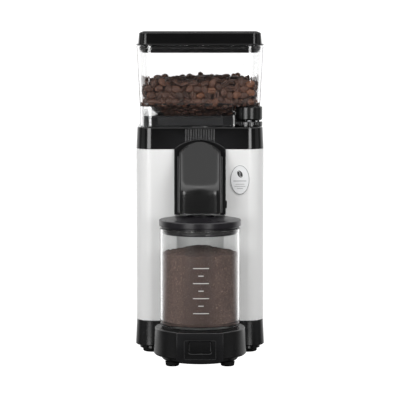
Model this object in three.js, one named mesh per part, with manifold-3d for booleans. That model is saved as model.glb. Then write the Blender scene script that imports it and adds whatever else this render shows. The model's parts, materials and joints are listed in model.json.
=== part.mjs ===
// A burr coffee grinder: a painted body shell between a black base and a black collar, a clear hopper
// on top, a slanted chute at the front and a glass jar on a round platform.
//
// Millimetres. Z is up, the front faces -Y, and +X is to the right of someone facing the front.
// The origin is on the surface that the feet stand on, in the middle of the bounding box.

import * as THREE from "three";
import { mergeVertices } from "three/addons/utils/BufferGeometryUtils.js";
import Module from "manifold-3d";

const wasm = await Module();
wasm.setup();

// ---- Driving dimensions ----

const GAP = 0.3; // left between pieces that touch
const PAST = 1; // how far a cutter runs past the face it cuts
const WELD = 1e-4; // vertices closer than this are one vertex

// Body, in plan a rounded rectangle
const BODY_HALF_WIDTH = 66.6;
const BODY_FRONT = -45;
const BODY_REAR = 128;
const BODY_CORNER = 17.7;
const SHEET = 1.5;
const MOULDED = 2.5;

// Heights of the main layers
const COVER_PLATE = [8.7, 11.7];
const PLATFORM_BOTTOM = 10.7;
const BASE_BOTTOM = 12;
const BASE_TOP = 38.5;
const SHELL_TOP = 218.4;
const COLLAR_TOP = 241.2;
const HOPPER_BASE_TOP = 252.7;
const LEDGE = 262.8;
const HOPPER_RIM = 326.1;
const LID_TOP = 339.2;
const TOP_PLATE = [214.5, 217];

// Jar and the round platform under it
const JAR_Y = -82;
const JAR_RADIUS = 41.2;
const JAR_BOTTOM = 39.5;
const JAR_RIM = 141;
const JAR_WALL = 2.2;
const JAR_FLOOR = 3;
const PLATFORM_RADIUS = 46.4;
const PLATFORM_ROOM = 41.4;
const MAT_RADIUS = 38.6;
const RECESS_RADIUS = 45.1;
const RECESS_TOP = 152.2;
const LID_HOLE_RADIUS = 15; // lets the grounds fall in from the chute
const LID_GROOVE = [JAR_RIM - 3.8, JAR_RIM - 0.8];
const MAT_TOP = 39.2;

// Grind knob, pinion and adjusting ring
const KNOB_X = 51.4;
const KNOB_Y = -24;
const KNOB_RADIUS = 13.9;
const KNOB_BOTTOM = 247.8;
const KNOB_TOP = 262.4;
const SPINDLE_RADIUS = 3;
const GEAR_MODULE = 2.25;
const RING_TEETH = 52;
const PINION_TEETH = 8;
const GEAR_BOTTOM = 228;
const GEAR_TOP = 233;
const CENTRE_DISTANCE = (GEAR_MODULE * (RING_TEETH + PINION_TEETH)) / 2;

// The burrs and the motor share an axis that sets the ring in mesh with the pinion
const AXIS_Y = KNOB_Y + Math.sqrt(CENTRE_DISTANCE ** 2 - KNOB_X ** 2);

// Grinding chamber
const CHAMBER_BOTTOM = 180.3;
const CHAMBER_FLOOR = 187;
const CHAMBER_RIM = 226;
const CHAMBER_RADIUS = 42;
const CUP_RADIUS = 35.2;
const CUP_WALL = 3.2;
const CUP_FLOOR = 205.3;
const BURR_RADIUS = 29;
const BURR_SLOTS = 10;
const LOWER_BURR = [194.3, 199.5];
const UPPER_BURR = [200, 205];
const BURR_SCREWS = 3;
const BURR_SCREW_CIRCLE = 24;
const DUCT_HALF_WIDTH = 11.5;
const DUCT = [188.5, 204.5];

// Motor
const MOUNT = [176, 180];
const SHAFT_RADIUS = 5;
const BEARING_RADIUS = 11;
const BEARING_WIDTH = 7;
const CAN_RADIUS = 40;
const CAN = [66, 175.7];
const CORE = [88, 148];

// Hopper
const HOPPER_INSETS = { ledge: 3.7, rim: 0.4 };
const HOPPER_WALL = 2.5;
const BIN_FLOOR = 1.5;
const HOPPER_BASE_INSET = 7.6;
const SKIRT_INSET = 4.1;
const SKIRT_BOTTOM = 242;
const SKIRT_WALL = 2;
const FUNNEL_BOTTOM = 245;
const FUNNEL_MOUTH = { halfWidth: 57, halfDepth: 78 };
const THROAT_RADIUS = 20;
const THROAT_BOTTOM = 213;
const POCKET_RADIUS = 15.2; // room for the knob in the hopper's front right corner

// Hopper lid: a plug with a seal goes down inside the hopper's rim
const LID_CORNER = 12.2; // its corners are tighter than the body's
const PLUG_INSET = 3.9;
const PLUG_BOTTOM = HOPPER_RIM - 7.7;
const SEAL_GROOVE = [HOPPER_RIM - 3.6, HOPPER_RIM - 1.6];

// Chute
const FRAME_HALF_WIDTH = 26.7;
const FRAME_BOTTOM = 150.8; // the frame's two feet, which stand clear of the jar's lid
const FRAME_FOOT = 5.7;
const RAMP_BOTTOM = 158;
const FRAME_FRONT = -50;
const ARCH_SAGITTA = 9.9;
const TAB = { x: [22.7, 27.9], y: [-48.7, -46.6], z: [157.4, 165.6] };
const COVER_HALF_WIDTH = 21.5;
const COVER_BOTTOM = 155.5;
const COVER_TOP = 226.8;
const COVER_ARCH = 216;
const COVER_DEPTH = 40.5;
const COVER_SLOPE = 0.9;
const COVER_WALL = 2;

// Switch panel and power button
const PANEL_FRONT = -130;
const PANEL_REAR = -122;
const PANEL_HALF_WIDTH = 23.6;
const PANEL = [8.4, 38.9];
const BUTTON = { halfWidth: 11.5, low: 18.3, high: 30.4, corner: 2.5 };
const BUTTON_MIDDLE = (BUTTON.low + BUTTON.high) / 2;
const SWITCH = { halfWidth: 10, front: -114, rear: -98 };

const BADGE = { x: 41.5, z: 186.8, halfWidth: 9.9, halfHeight: 15.4, thickness: 0.6 };
const GLAND = { z: 25, flange: 9.5, barrel: 6, bore: 3.6 };
const BOARD = { halfWidth: 30, y: [38, 86], z: [16, 17.6] };

const FRONT_FOOT = { x: 28.2, y: -95, radius: 7.4, height: 4.7 };
const FOOT = { x: 50, radius: 11.2, height: 8.4 };
const FOOT_ROWS = { middle: 0, rear: 105 };
const POST = { x: 54, ys: [-26, 112], radius: 4 };
const BASE_SCREW = { x: 40, ys: [22, 86], hole: 2.2, shank: 1.8 };

// ---- Materials ----

function finish(color, roughness, metalness = 0) {
  return new THREE.MeshStandardMaterial({ color, roughness, metalness });
}

const WHITE_PAINT = finish(0xe4e5e7, 0.4, 0.2);
const BLACK_PLASTIC = finish(0x1d1d1f, 0.45);
const SATIN_BLACK = finish(0x3a3a3d, 0.5);
const LID_PLASTIC = finish(0x37353b, 0.6);
const CLEAR_PLASTIC = finish(0xdfe3e6, 0.1);
const GLASS = finish(0xdde5e6, 0.05);
const RUBBER = finish(0x141414, 0.85);
const STEEL = finish(0xa9abae, 0.35, 0.9);
const CAST_ALUMINIUM = finish(0xb4b6b8, 0.5, 0.8);
const COPPER = finish(0xa3623a, 0.5, 0.7);
const BOARD_GREEN = finish(0x1f5a3a, 0.6);
const BADGE_WHITE = finish(0xf2f2f0, 0.4);
CLEAR_PLASTIC.transparent = true;
CLEAR_PLASTIC.opacity = 0.35;
GLASS.transparent = true;
GLASS.opacity = 0.35;

// ---- Solids from three.js geometry ----

function solidOf(geometry) {
  const bare = geometry.index ? geometry.toNonIndexed() : geometry.clone();
  bare.deleteAttribute("normal");
  bare.deleteAttribute("uv");
  const merged = mergeVertices(bare, WELD);
  const mesh = new wasm.Mesh({
    numProp: 3,
    vertProperties: merged.attributes.position.array,
    triVerts: new Uint32Array(merged.index.array),
  });
  return new wasm.Manifold(mesh);
}

function geometryOf(solid) {
  const mesh = solid.getMesh();
  const geometry = new THREE.BufferGeometry();
  geometry.setAttribute("position", new THREE.BufferAttribute(mesh.vertProperties, 3));
  geometry.setIndex(new THREE.BufferAttribute(mesh.triVerts, 1));
  geometry.computeVertexNormals();
  return geometry;
}

const grinder = new THREE.Group();

function place(name, solid, material) {
  const mesh = new THREE.Mesh(geometryOf(solid), material);
  mesh.name = name;
  grinder.add(mesh);
}

function union(...solids) {
  return solids.reduce((whole, next) => whole.add(next));
}

// A shape in plan, standing from one height to another.
function prism(shape, low, high, curveSegments = 12) {
  const settings = { depth: high - low, bevelEnabled: false, curveSegments };
  const geometry = new THREE.ExtrudeGeometry(shape, settings);
  return solidOf(geometry.translate(0, 0, low));
}

// A shape drawn in X and Z, reaching from its front to its rear.
function facing(shape, front, rear, curveSegments = 12) {
  const settings = { depth: rear - front, bevelEnabled: false, curveSegments };
  const geometry = new THREE.ExtrudeGeometry(shape, settings);
  return solidOf(geometry.rotateX(Math.PI / 2).translate(0, rear, 0));
}

// A shape drawn in Y and Z, reaching the same distance to the left and right.
function across(shape, halfWidth) {
  const settings = { depth: 2 * halfWidth, bevelEnabled: false };
  const geometry = new THREE.ExtrudeGeometry(shape, settings);
  const turn = new THREE.Matrix4().makeBasis(
    new THREE.Vector3(0, 1, 0),
    new THREE.Vector3(0, 0, 1),
    new THREE.Vector3(1, 0, 0),
  );
  return solidOf(geometry.applyMatrix4(turn).translate(-halfWidth, 0, 0));
}

function block([x0, x1], [y0, y1], [z0, z1]) {
  const geometry = new THREE.BoxGeometry(x1 - x0, y1 - y0, z1 - z0);
  return solidOf(geometry.translate((x0 + x1) / 2, (y0 + y1) / 2, (z0 + z1) / 2));
}

// A closed profile of [radius, height] points, anticlockwise with the axis on its left.
function turned(profile, x, y, segments = 36) {
  const points = profile.map(([radius, height]) => new THREE.Vector2(radius, height));
  const geometry = new THREE.LatheGeometry(points, segments);
  return solidOf(geometry.rotateX(Math.PI / 2).translate(x, y, 0));
}

function ring(inner, outer, low, high, x, y, segments = 32) {
  const profile = [
    [inner, low],
    [outer, low],
    [outer, high],
    [inner, high],
    [inner, low],
  ];
  return turned(profile, x, y, segments);
}

function rod(radius, low, high, x, y, segments = 16) {
  const profile = [
    [0, low],
    [radius, low],
    [radius, high],
    [0, high],
  ];
  return turned(profile, x, y, segments);
}

// Rings of [x, y, z] points with equal counts, anticlockwise from above, joined from the lowest up.
function loft(rings) {
  const count = rings[0].length;
  const positions = rings.flat(2);
  const indices = [];
  for (let level = 0; level + 1 < rings.length; level++) {
    for (let i = 0; i < count; i++) {
      const a = level * count + i;
      const b = level * count + ((i + 1) % count);
      indices.push(a, b, b + count, a, b + count, a + count);
    }
  }
  const top = (rings.length - 1) * count;
  for (let i = 1; i + 1 < count; i++) {
    indices.push(0, i + 1, i);
    indices.push(top, top + i, top + i + 1);
  }
  const geometry = new THREE.BufferGeometry();
  geometry.setAttribute("position", new THREE.Float32BufferAttribute(positions, 3));
  geometry.setIndex(indices);
  return solidOf(geometry);
}

function circle(radius, x, y) {
  return new THREE.Shape().absarc(x, y, radius, 0, 2 * Math.PI);
}

function polygon(points) {
  return new THREE.Shape(points.map(([x, y]) => new THREE.Vector2(x, y)));
}

// A rounded rectangle between two corners.
function rounded([x0, x1], [y0, y1], radius) {
  const shape = new THREE.Shape();
  shape.absarc(x1 - radius, y1 - radius, radius, 0, Math.PI / 2);
  shape.absarc(x0 + radius, y1 - radius, radius, Math.PI / 2, Math.PI);
  shape.absarc(x0 + radius, y0 + radius, radius, Math.PI, 1.5 * Math.PI);
  shape.absarc(x1 - radius, y0 + radius, radius, 1.5 * Math.PI, 2 * Math.PI);
  return shape;
}

// The body's plan outline, moved in by an inset.
function outline(inset, corner = BODY_CORNER) {
  const x = BODY_HALF_WIDTH - inset;
  return rounded([-x, x], [BODY_FRONT + inset, BODY_REAR - inset], corner - inset);
}

// A block with the body's outline and an inset of its own at each height: [[inset, height], ...].
function tapered(levels, corner = BODY_CORNER) {
  const rings = levels.map(([inset, height]) => {
    const points = outline(inset, corner).extractPoints(3).shape;
    return points.slice(0, -1).map((point) => [point.x, point.y, height]);
  });
  return loft(rings);
}

// ---- Base ----

function platformProfile() {
  return [
    [0, PLATFORM_BOTTOM],
    [PLATFORM_RADIUS - 0.6, PLATFORM_BOTTOM],
    [PLATFORM_RADIUS + 1, PLATFORM_BOTTOM + 1.2],
    [PLATFORM_RADIUS, BASE_TOP],
    [0, BASE_TOP],
  ];
}

function baseHousing() {
  const rear = tapered([
    [0.3, BASE_BOTTOM],
    [-0.9, BASE_BOTTOM + 0.9],
    [0.2, BASE_TOP],
  ]);
  const platform = turned(platformProfile(), 0, JAR_Y, 48);
  const roomLow = PLATFORM_BOTTOM - PAST;
  const rearRoom = prism(outline(MOULDED + 0.5), roomLow, BASE_TOP - MOULDED, 3);
  const frontRoom = rod(PLATFORM_ROOM, roomLow, BASE_TOP - 4, 0, JAR_Y, 32);
  const passage = block([-12, 12], [-60, -20], [16, 30]);
  const matPocket = rod(MAT_RADIUS + GAP, BASE_TOP - 1.3, BASE_TOP + PAST, 0, JAR_Y, 40);
  const flatFront = block([-24, 24], [-140, PANEL_REAR + GAP], [0, 50]);
  const glandHole = facing(circle(GLAND.barrel + 0.4, 0, GLAND.z), BODY_REAR - 8, BODY_REAR + 7, 6);
  let housing = rear.add(platform);
  housing = housing.subtract(rearRoom).subtract(frontRoom);
  for (const y of BASE_SCREW.ys) {
    for (const x of [-BASE_SCREW.x, BASE_SCREW.x]) {
      const boss = rod(5, BASE_BOTTOM, BASE_TOP - 1, x, y, 12);
      const pilot = rod(BASE_SCREW.hole, BASE_BOTTOM - PAST, BASE_BOTTOM + 12, x, y, 8);
      housing = housing.add(boss).subtract(pilot);
    }
  }
  return housing.subtract(passage).subtract(matPocket).subtract(flatFront).subtract(glandHole);
}

// A plate under the body and a step under the jar platform, joined by a bridge.
function bottomCover() {
  const [low, high] = COVER_PLATE;
  const stepRadius = PLATFORM_ROOM - 1.8;
  const underside = [
    [0, low - 3.7],
    [stepRadius - 4.6, low - 3.7],
    [stepRadius - 1.5, low - 3],
    [stepRadius, low - 1.2],
    [stepRadius, high + 2],
    [0, high + 2],
  ];
  const step = turned(underside, 0, JAR_Y, 36);
  const plate = prism(outline(3.5), low, high, 3);
  const bridge = block([-30, 30], [-60, -35], [low - 1.3, PLATFORM_BOTTOM - GAP]);
  let cover = union(step, plate, bridge);
  for (const y of BASE_SCREW.ys) {
    for (const x of [-BASE_SCREW.x, BASE_SCREW.x]) {
      cover = cover.subtract(rod(BASE_SCREW.hole, low - PAST, high + PAST, x, y, 8));
    }
  }
  return cover;
}

function foot({ radius, height }, x, y) {
  const profile = [
    [0, 0],
    [radius - 1.5, 0],
    [radius - 0.5, 0.9],
    [radius, height],
    [0, height],
  ];
  return turned(profile, x, y, 20);
}

function baseScrew(x, y) {
  const [underHead] = COVER_PLATE;
  const head = rod(3.8, underHead - GAP - 2, underHead - GAP, x, y, 12);
  return head.add(rod(BASE_SCREW.shank, underHead - PAST, BASE_BOTTOM + 10, x, y, 8));
}

function switchPanel() {
  const w = PANEL_HALF_WIDTH;
  const [low, high] = PANEL;
  const face = polygon([
    [-w + 4, low],
    [w - 4, low],
    [w, low + 3],
    [w, high],
    [-w, high],
    [-w, low + 3],
  ]);
  const inside = w - MOULDED;
  const depth = [PANEL_FRONT + MOULDED, PANEL_REAR + PAST];
  const room = block([-inside, inside], depth, [low + 4, high - MOULDED]);
  const { halfWidth, corner } = BUTTON;
  const side = halfWidth + 0.5;
  const window = rounded([-side, side], [BUTTON.low - 0.5, BUTTON.high + 0.5], corner + 0.5);
  const panel = facing(face, PANEL_FRONT, PANEL_REAR);
  return panel.subtract(room).subtract(facing(window, PANEL_FRONT - PAST, PANEL_REAR, 3));
}

function powerButton() {
  const { halfWidth, low, high, corner } = BUTTON;
  const cap = rounded([-halfWidth, halfWidth], [low, high], corner);
  const stem = facing(circle(2, 0, BUTTON_MIDDLE), PANEL_FRONT + 5, SWITCH.front - 4, 5);
  return facing(cap, PANEL_FRONT + 0.4, PANEL_FRONT + 5.1, 3).add(stem);
}

function switchModule() {
  const { halfWidth, front, rear } = SWITCH;
  const heights = [BUTTON_MIDDLE - 8, BUTTON_MIDDLE + 7];
  const body = block([-halfWidth, halfWidth], [front, rear], heights);
  const collar = facing(circle(3.5, 0, BUTTON_MIDDLE), front - 2, front + 1, 6);
  const socket = facing(circle(2.4, 0, BUTTON_MIDDLE), front - 6, front + 6, 5);
  return body.add(collar).subtract(socket);
}

// A coil round the button's stem, between the cap and the switch.
function buttonSpring() {
  const coilRadius = 5.2;
  const turns = 3;
  const front = PANEL_FRONT + 5.6;
  const rear = SWITCH.front - 0.6;
  const steps = 12 * turns;
  const points = [];
  for (let i = 0; i <= steps; i++) {
    const angle = (2 * Math.PI * turns * i) / steps;
    const along = THREE.MathUtils.lerp(front, rear, i / steps);
    const height = BUTTON_MIDDLE + coilRadius * Math.sin(angle);
    points.push(new THREE.Vector3(coilRadius * Math.cos(angle), along, height));
  }
  const settings = { steps, bevelEnabled: false, extrudePath: new THREE.CatmullRomCurve3(points) };
  const wire = polygon([
    [0.5, 0],
    [0, 0.5],
    [-0.5, 0],
    [0, -0.5],
  ]);
  return solidOf(new THREE.ExtrudeGeometry(wire, settings));
}

function circuitBoard() {
  const { halfWidth, y, z } = BOARD;
  const board = block([-halfWidth, halfWidth], y, z);
  const base = z[1] - 0.1;
  const relay = block([-24, -8], [46, 60], [base, base + 12.5]);
  const capacitor = rod(7, base, base + 15.5, 12, 66, 16);
  const terminals = block([-20, 22], [79, 84], [base, base + 8.5]);
  return union(board, relay, capacitor, terminals);
}

function cableGland() {
  const { z, flange, barrel, bore } = GLAND;
  const face = BODY_REAR + 1.2;
  const outside = facing(circle(flange, 0, z), face, face + 0.8, 8);
  const inside = facing(circle(barrel, 0, z), BODY_REAR - 12, face + 0.2, 8);
  return outside.add(inside).subtract(facing(circle(bore, 0, z), BODY_REAR - 18, BODY_REAR + 3, 6));
}

// ---- Body ----

function recess(radius, low, high) {
  return rod(radius, low, high, 0, JAR_Y, 72);
}

function bodyShell() {
  const low = BASE_TOP + GAP;
  const outer = prism(outline(0), low, SHELL_TOP, 4);
  const inner = prism(outline(SHEET), low - PAST, SHELL_TOP + PAST, 4);
  const outside = outer.subtract(recess(RECESS_RADIUS, 0, RECESS_TOP));
  const inside = inner.subtract(recess(RECESS_RADIUS + SHEET, 0, RECESS_TOP + SHEET));
  const [ductLow, ductHigh] = DUCT;
  const window = block([-14.8, 14.8], [-50, -40], [ductLow - 3, ductHigh + 3]);
  return outside.subtract(inside).subtract(window);
}

function badge() {
  const { x, z, halfWidth, halfHeight, thickness } = BADGE;
  const oval = new THREE.Shape().absellipse(x, z, halfWidth, halfHeight, 0, 2 * Math.PI, false, 0);
  return facing(oval, BODY_FRONT - GAP - thickness, BODY_FRONT - GAP, 14);
}

// An upright plate outline with an arched top.
function arch(halfWidth, low, spring, sagitta) {
  const radius = (halfWidth ** 2 + sagitta ** 2) / (2 * sagitta);
  const centre = spring + sagitta - radius;
  const start = Math.asin((spring - centre) / radius);
  const shape = new THREE.Shape();
  shape.moveTo(-halfWidth, low);
  shape.lineTo(halfWidth, low);
  shape.absarc(0, centre, radius, start, Math.PI - start);
  return shape;
}

function topCollar() {
  const low = SHELL_TOP + GAP;
  const outer = tapered([
    [0, low],
    [1, COLLAR_TOP - 0.8],
    [1.8, COLLAR_TOP],
  ]);
  const inner = prism(outline(MOULDED + 1), low - PAST, COLLAR_TOP - MOULDED, 3);
  const [holeLow, holeHigh] = [COLLAR_TOP - 5, COLLAR_TOP + PAST];
  const throatHole = rod(THROAT_RADIUS + 4, holeLow, holeHigh, 0, AXIS_Y, 32);
  const spindleHole = rod(SPINDLE_RADIUS + 0.6, holeLow, holeHigh, KNOB_X, KNOB_Y);
  const archCut = arch(FRAME_HALF_WIDTH + 0.4, low - 2, low - 0.1, ARCH_SAGITTA + 0.4);
  let collar = outer.subtract(inner).subtract(throatHole).subtract(spindleHole);
  const ribs = 12;
  const pitch = 2.66;
  const depth = [BODY_FRONT - 0.3, BODY_FRONT + 2];
  for (let i = 0; i < ribs; i++) {
    const x = (i - (ribs - 1) / 2) * pitch;
    collar = collar.add(block([x - 0.7, x + 0.7], depth, [low, COLLAR_TOP - 1.6]));
  }
  return collar.subtract(facing(archCut, -60, -35, 10));
}

function topPlate() {
  const [low, high] = TOP_PLATE;
  const plate = prism(outline(SHEET + 0.6), low, high, 3);
  const chamberHole = rod(CHAMBER_RADIUS + 0.5, low - PAST, high + PAST, 0, AXIS_Y, 36);
  const spindleHole = rod(SPINDLE_RADIUS + GAP, low - PAST, high + PAST, KNOB_X, KNOB_Y);
  return plate.subtract(chamberHole).subtract(spindleHole);
}

// The corner room around the knob, grown outwards by a margin.
function knobPocket(margin, low, high) {
  const reach = POCKET_RADIUS + margin;
  const bore = rod(reach, low, high, KNOB_X, KNOB_Y, 28);
  const front = block([KNOB_X - reach, 80], [-60, KNOB_Y], [low, high]);
  const side = block([KNOB_X, 80], [-60, KNOB_Y + reach], [low, high]);
  return union(bore, front, side);
}

function hopperBase() {
  const low = COLLAR_TOP + GAP;
  const outer = prism(outline(HOPPER_BASE_INSET), low, HOPPER_BASE_TOP, 3);
  const inside = outline(HOPPER_BASE_INSET + MOULDED);
  const inner = prism(inside, low - PAST, HOPPER_BASE_TOP - MOULDED, 3);
  const corner = knobPocket(3, low - PAST, HOPPER_BASE_TOP + PAST);
  const cornerWall = knobPocket(3 + MOULDED, low - 2 * PAST, HOPPER_BASE_TOP - MOULDED);
  const room = inner.subtract(cornerWall);
  return outer.subtract(corner).subtract(room).subtract(funnel(1.5, -0.5, LEDGE + PAST));
}

function scaleRing() {
  return ring(5, KNOB_RADIUS, COLLAR_TOP + GAP, KNOB_BOTTOM - 1.2, KNOB_X, KNOB_Y, 28);
}

function supportPost(x, y) {
  return rod(POST.radius, BASE_TOP + GAP, MOUNT[0] - GAP, x, y, 12);
}

// ---- Grinding unit ----

// The outline of a spur gear with straight-sided teeth, one tooth centred on a given direction.
function gearShape(teeth, x, y, direction) {
  const pitchRadius = (GEAR_MODULE * teeth) / 2;
  const root = pitchRadius - 1.2 * GEAR_MODULE;
  const tip = pitchRadius + 0.9 * GEAR_MODULE;
  const corners = [
    [root, -0.33],
    [tip, -0.11],
    [tip, 0.11],
    [root, 0.33],
  ];
  const points = [];
  for (let tooth = 0; tooth < teeth; tooth++) {
    for (const [radius, share] of corners) {
      const angle = direction + (2 * Math.PI * (tooth + share)) / teeth;
      points.push([x + radius * Math.cos(angle), y + radius * Math.sin(angle)]);
    }
  }
  return polygon(points);
}

const MESH_DIRECTION = Math.atan2(KNOB_Y - AXIS_Y, KNOB_X);

function adjustingRing() {
  const gear = prism(gearShape(RING_TEETH, 0, AXIS_Y, MESH_DIRECTION), GEAR_BOTTOM, GEAR_TOP);
  const cup = rod(CUP_RADIUS, CUP_FLOOR, GEAR_BOTTOM + 1, 0, AXIS_Y, 36);
  const room = rod(CUP_RADIUS - CUP_WALL, CUP_FLOOR + CUP_WALL, GEAR_TOP + PAST, 0, AXIS_Y, 36);
  const feed = rod(14, CUP_FLOOR - PAST, CUP_FLOOR + CUP_WALL + PAST, 0, AXIS_Y, 24);
  let whole = gear.add(cup).subtract(room).subtract(feed);
  for (const [x, y] of burrScrewPlaces()) {
    whole = whole.subtract(rod(2.2, CUP_FLOOR - PAST, CUP_FLOOR + CUP_WALL + PAST, x, y, 8));
  }
  return whole;
}

function burrScrewPlaces() {
  const places = [];
  for (let i = 0; i < BURR_SCREWS; i++) {
    const angle = Math.PI / 2 + (2 * Math.PI * i) / BURR_SCREWS;
    places.push([BURR_SCREW_CIRCLE * Math.cos(angle), AXIS_Y + BURR_SCREW_CIRCLE * Math.sin(angle)]);
  }
  return places;
}

// Slanted cutting slots across a burr's working face.
function burrSlots(low, high) {
  const slots = [];
  for (let i = 0; i < BURR_SLOTS; i++) {
    const slot = new THREE.BoxGeometry(BURR_RADIUS, 2, high - low);
    slot.translate(BURR_RADIUS * 0.9, 5, (low + high) / 2);
    slot.rotateZ((2 * Math.PI * i) / BURR_SLOTS).translate(0, AXIS_Y, 0);
    slots.push(solidOf(slot));
  }
  return union(...slots);
}

function upperBurr() {
  const [low, high] = UPPER_BURR;
  let burr = ring(15, BURR_RADIUS, low, high, 0, AXIS_Y);
  for (const [x, y] of burrScrewPlaces()) {
    burr = burr.subtract(rod(2.2, low - PAST, high + PAST, x, y, 8));
  }
  return burr.subtract(burrSlots(low - PAST, low + 1.5));
}

function burrScrew(x, y) {
  const underHead = CUP_FLOOR + CUP_WALL + GAP;
  const head = rod(3.5, underHead, underHead + 2, x, y, 12);
  return head.add(rod(1.8, UPPER_BURR[0] + 1.8, underHead + 1, x, y, 8));
}

function lowerBurr() {
  const [low, high] = LOWER_BURR;
  return ring(13, BURR_RADIUS, low, high, 0, AXIS_Y).subtract(burrSlots(high - 1.5, high + PAST));
}

function burrCarrier() {
  const bottom = CHAMBER_FLOOR + 0.8;
  const disc = ring(SHAFT_RADIUS + GAP, 31, bottom + 2, LOWER_BURR[0] - GAP, 0, AXIS_Y);
  const paddles = 3;
  let carrier = disc;
  for (let i = 0; i < paddles; i++) {
    const paddle = new THREE.BoxGeometry(14, 4, 5.5);
    paddle.translate(27.5, 0, bottom + 2.75);
    paddle.rotateZ((2 * Math.PI * i) / paddles).translate(0, AXIS_Y, 0);
    carrier = carrier.add(solidOf(paddle));
  }
  return carrier;
}

function burrNut() {
  const [low] = LOWER_BURR;
  const hexagon = rod(9, low, low + 4, 0, AXIS_Y, 6);
  return hexagon.subtract(rod(SHAFT_RADIUS + GAP, low - PAST, low + 5, 0, AXIS_Y, 20));
}

function burrChamber() {
  const [ductLow, ductHigh] = DUCT;
  const casting = rod(CHAMBER_RADIUS, CHAMBER_BOTTOM, CHAMBER_RIM, 0, AXIS_Y, 36);
  const duct = block([-14, 14], [BODY_FRONT + GAP, AXIS_Y - 38], [ductLow - 2.5, ductHigh + 2.5]);
  const room = rod(CUP_RADIUS + 0.6, CHAMBER_FLOOR, CHAMBER_RIM + PAST, 0, AXIS_Y, 36);
  const shaftHole = rod(SHAFT_RADIUS + 0.6, CHAMBER_BOTTOM - PAST, CHAMBER_RIM, 0, AXIS_Y, 20);
  const w = DUCT_HALF_WIDTH;
  const passage = block([-w, w], [BODY_FRONT - PAST, AXIS_Y - 30], DUCT);
  return casting.add(duct).subtract(room).subtract(shaftHole).subtract(passage);
}

// ---- Motor ----

function motorMount() {
  const plate = prism(outline(SHEET + 0.6), MOUNT[0], MOUNT[1], 3);
  return plate.subtract(rod(BEARING_RADIUS + GAP, MOUNT[0] - PAST, MOUNT[1] + PAST, 0, AXIS_Y, 24));
}

function motorCan() {
  const [low, high] = CAN;
  const outer = rod(CAN_RADIUS, low, high, 0, AXIS_Y, 32);
  const room = rod(CAN_RADIUS - 2, low - PAST, high - 4, 0, AXIS_Y, 32);
  return outer.subtract(room).subtract(rod(BEARING_RADIUS + GAP, low, high + PAST, 0, AXIS_Y, 24));
}

function motorEndCap() {
  const low = CAN[0] - 5;
  return ring(BEARING_RADIUS + GAP, CAN_RADIUS, low, CAN[0] - GAP, 0, AXIS_Y, 24);
}

function bearing(low) {
  return ring(SHAFT_RADIUS + GAP, BEARING_RADIUS, low, low + BEARING_WIDTH, 0, AXIS_Y, 24);
}

function stator() {
  return ring(23, CAN_RADIUS - 2.5, CORE[0], CORE[1], 0, AXIS_Y);
}

function rotorCore() {
  return ring(SHAFT_RADIUS + GAP, 22, CORE[0], CORE[1], 0, AXIS_Y);
}

function motorShaft() {
  return rod(SHAFT_RADIUS, 52, LOWER_BURR[1] - 0.5, 0, AXIS_Y, 20);
}

function coolingFan() {
  const low = 70;
  const hub = ring(SHAFT_RADIUS + GAP, 10, low, low + 12, 0, AXIS_Y, 20);
  const disc = ring(SHAFT_RADIUS + GAP, 34, low, low + 1.6, 0, AXIS_Y, 20);
  const blades = 8;
  let fan = hub.add(disc);
  for (let i = 0; i < blades; i++) {
    const blade = new THREE.BoxGeometry(24.5, 1.6, 12);
    blade.translate(21.5, 0, low + 6);
    blade.rotateZ((2 * Math.PI * i) / blades).translate(0, AXIS_Y, 0);
    fan = fan.add(solidOf(blade));
  }
  return fan;
}

// ---- Knob ----

function knobSpindle() {
  const pitchAngle = (2 * Math.PI) / PINION_TEETH;
  const direction = MESH_DIRECTION + Math.PI + pitchAngle / 2;
  const shape = gearShape(PINION_TEETH, KNOB_X, KNOB_Y, direction);
  const pinion = prism(shape, GEAR_BOTTOM - 1.5, GEAR_TOP + 1.5);
  return pinion.add(rod(SPINDLE_RADIUS, 213.5, KNOB_BOTTOM + 4.5, KNOB_X, KNOB_Y));
}

function adjustKnob() {
  const bore = SPINDLE_RADIUS + GAP;
  const profile = [
    [0, KNOB_BOTTOM + 4.8],
    [bore, KNOB_BOTTOM + 4.8],
    [bore, KNOB_BOTTOM],
    [KNOB_RADIUS - 1, KNOB_BOTTOM],
    [KNOB_RADIUS, KNOB_BOTTOM + 1.4],
    [KNOB_RADIUS, KNOB_TOP - 0.9],
    [KNOB_RADIUS - 0.9, KNOB_TOP],
    [0, KNOB_TOP],
  ];
  return turned(profile, KNOB_X, KNOB_Y, 28);
}

// ---- Hopper ----

// One level of the funnel, between the round throat (share 0) and its squarish mouth (share 1).
function funnelRing(share, grow, height) {
  const { lerp } = THREE.MathUtils;
  const squareness = lerp(1, 0.5, share);
  const halfWidth = lerp(THROAT_RADIUS, FUNNEL_MOUTH.halfWidth, share) + grow;
  const halfDepth = lerp(THROAT_RADIUS, FUNNEL_MOUTH.halfDepth, share) + grow;
  const centre = lerp(AXIS_Y, (BODY_FRONT + BODY_REAR) / 2, share);
  const bend = (value) => Math.sign(value) * Math.abs(value) ** squareness;
  const count = 40;
  const points = [];
  for (let i = 0; i < count; i++) {
    const angle = (2 * Math.PI * i) / count;
    const x = halfWidth * bend(Math.cos(angle));
    const y = centre + halfDepth * bend(Math.sin(angle));
    points.push([x, y, height]);
  }
  return points;
}

// A bowl, steep at the ledge and flatter at the throat, that goes on straight up to a height.
function funnel(grow, lift, high) {
  const levels = 5;
  const rings = [];
  for (let i = 0; i <= levels; i++) {
    const rise = (i / levels) ** 2;
    const height = THREE.MathUtils.lerp(FUNNEL_BOTTOM, LEDGE, rise) + lift;
    rings.push(funnelRing(rise ** 0.4, grow, height));
  }
  rings.push(funnelRing(1, grow, high));
  return loft(rings);
}

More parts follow.
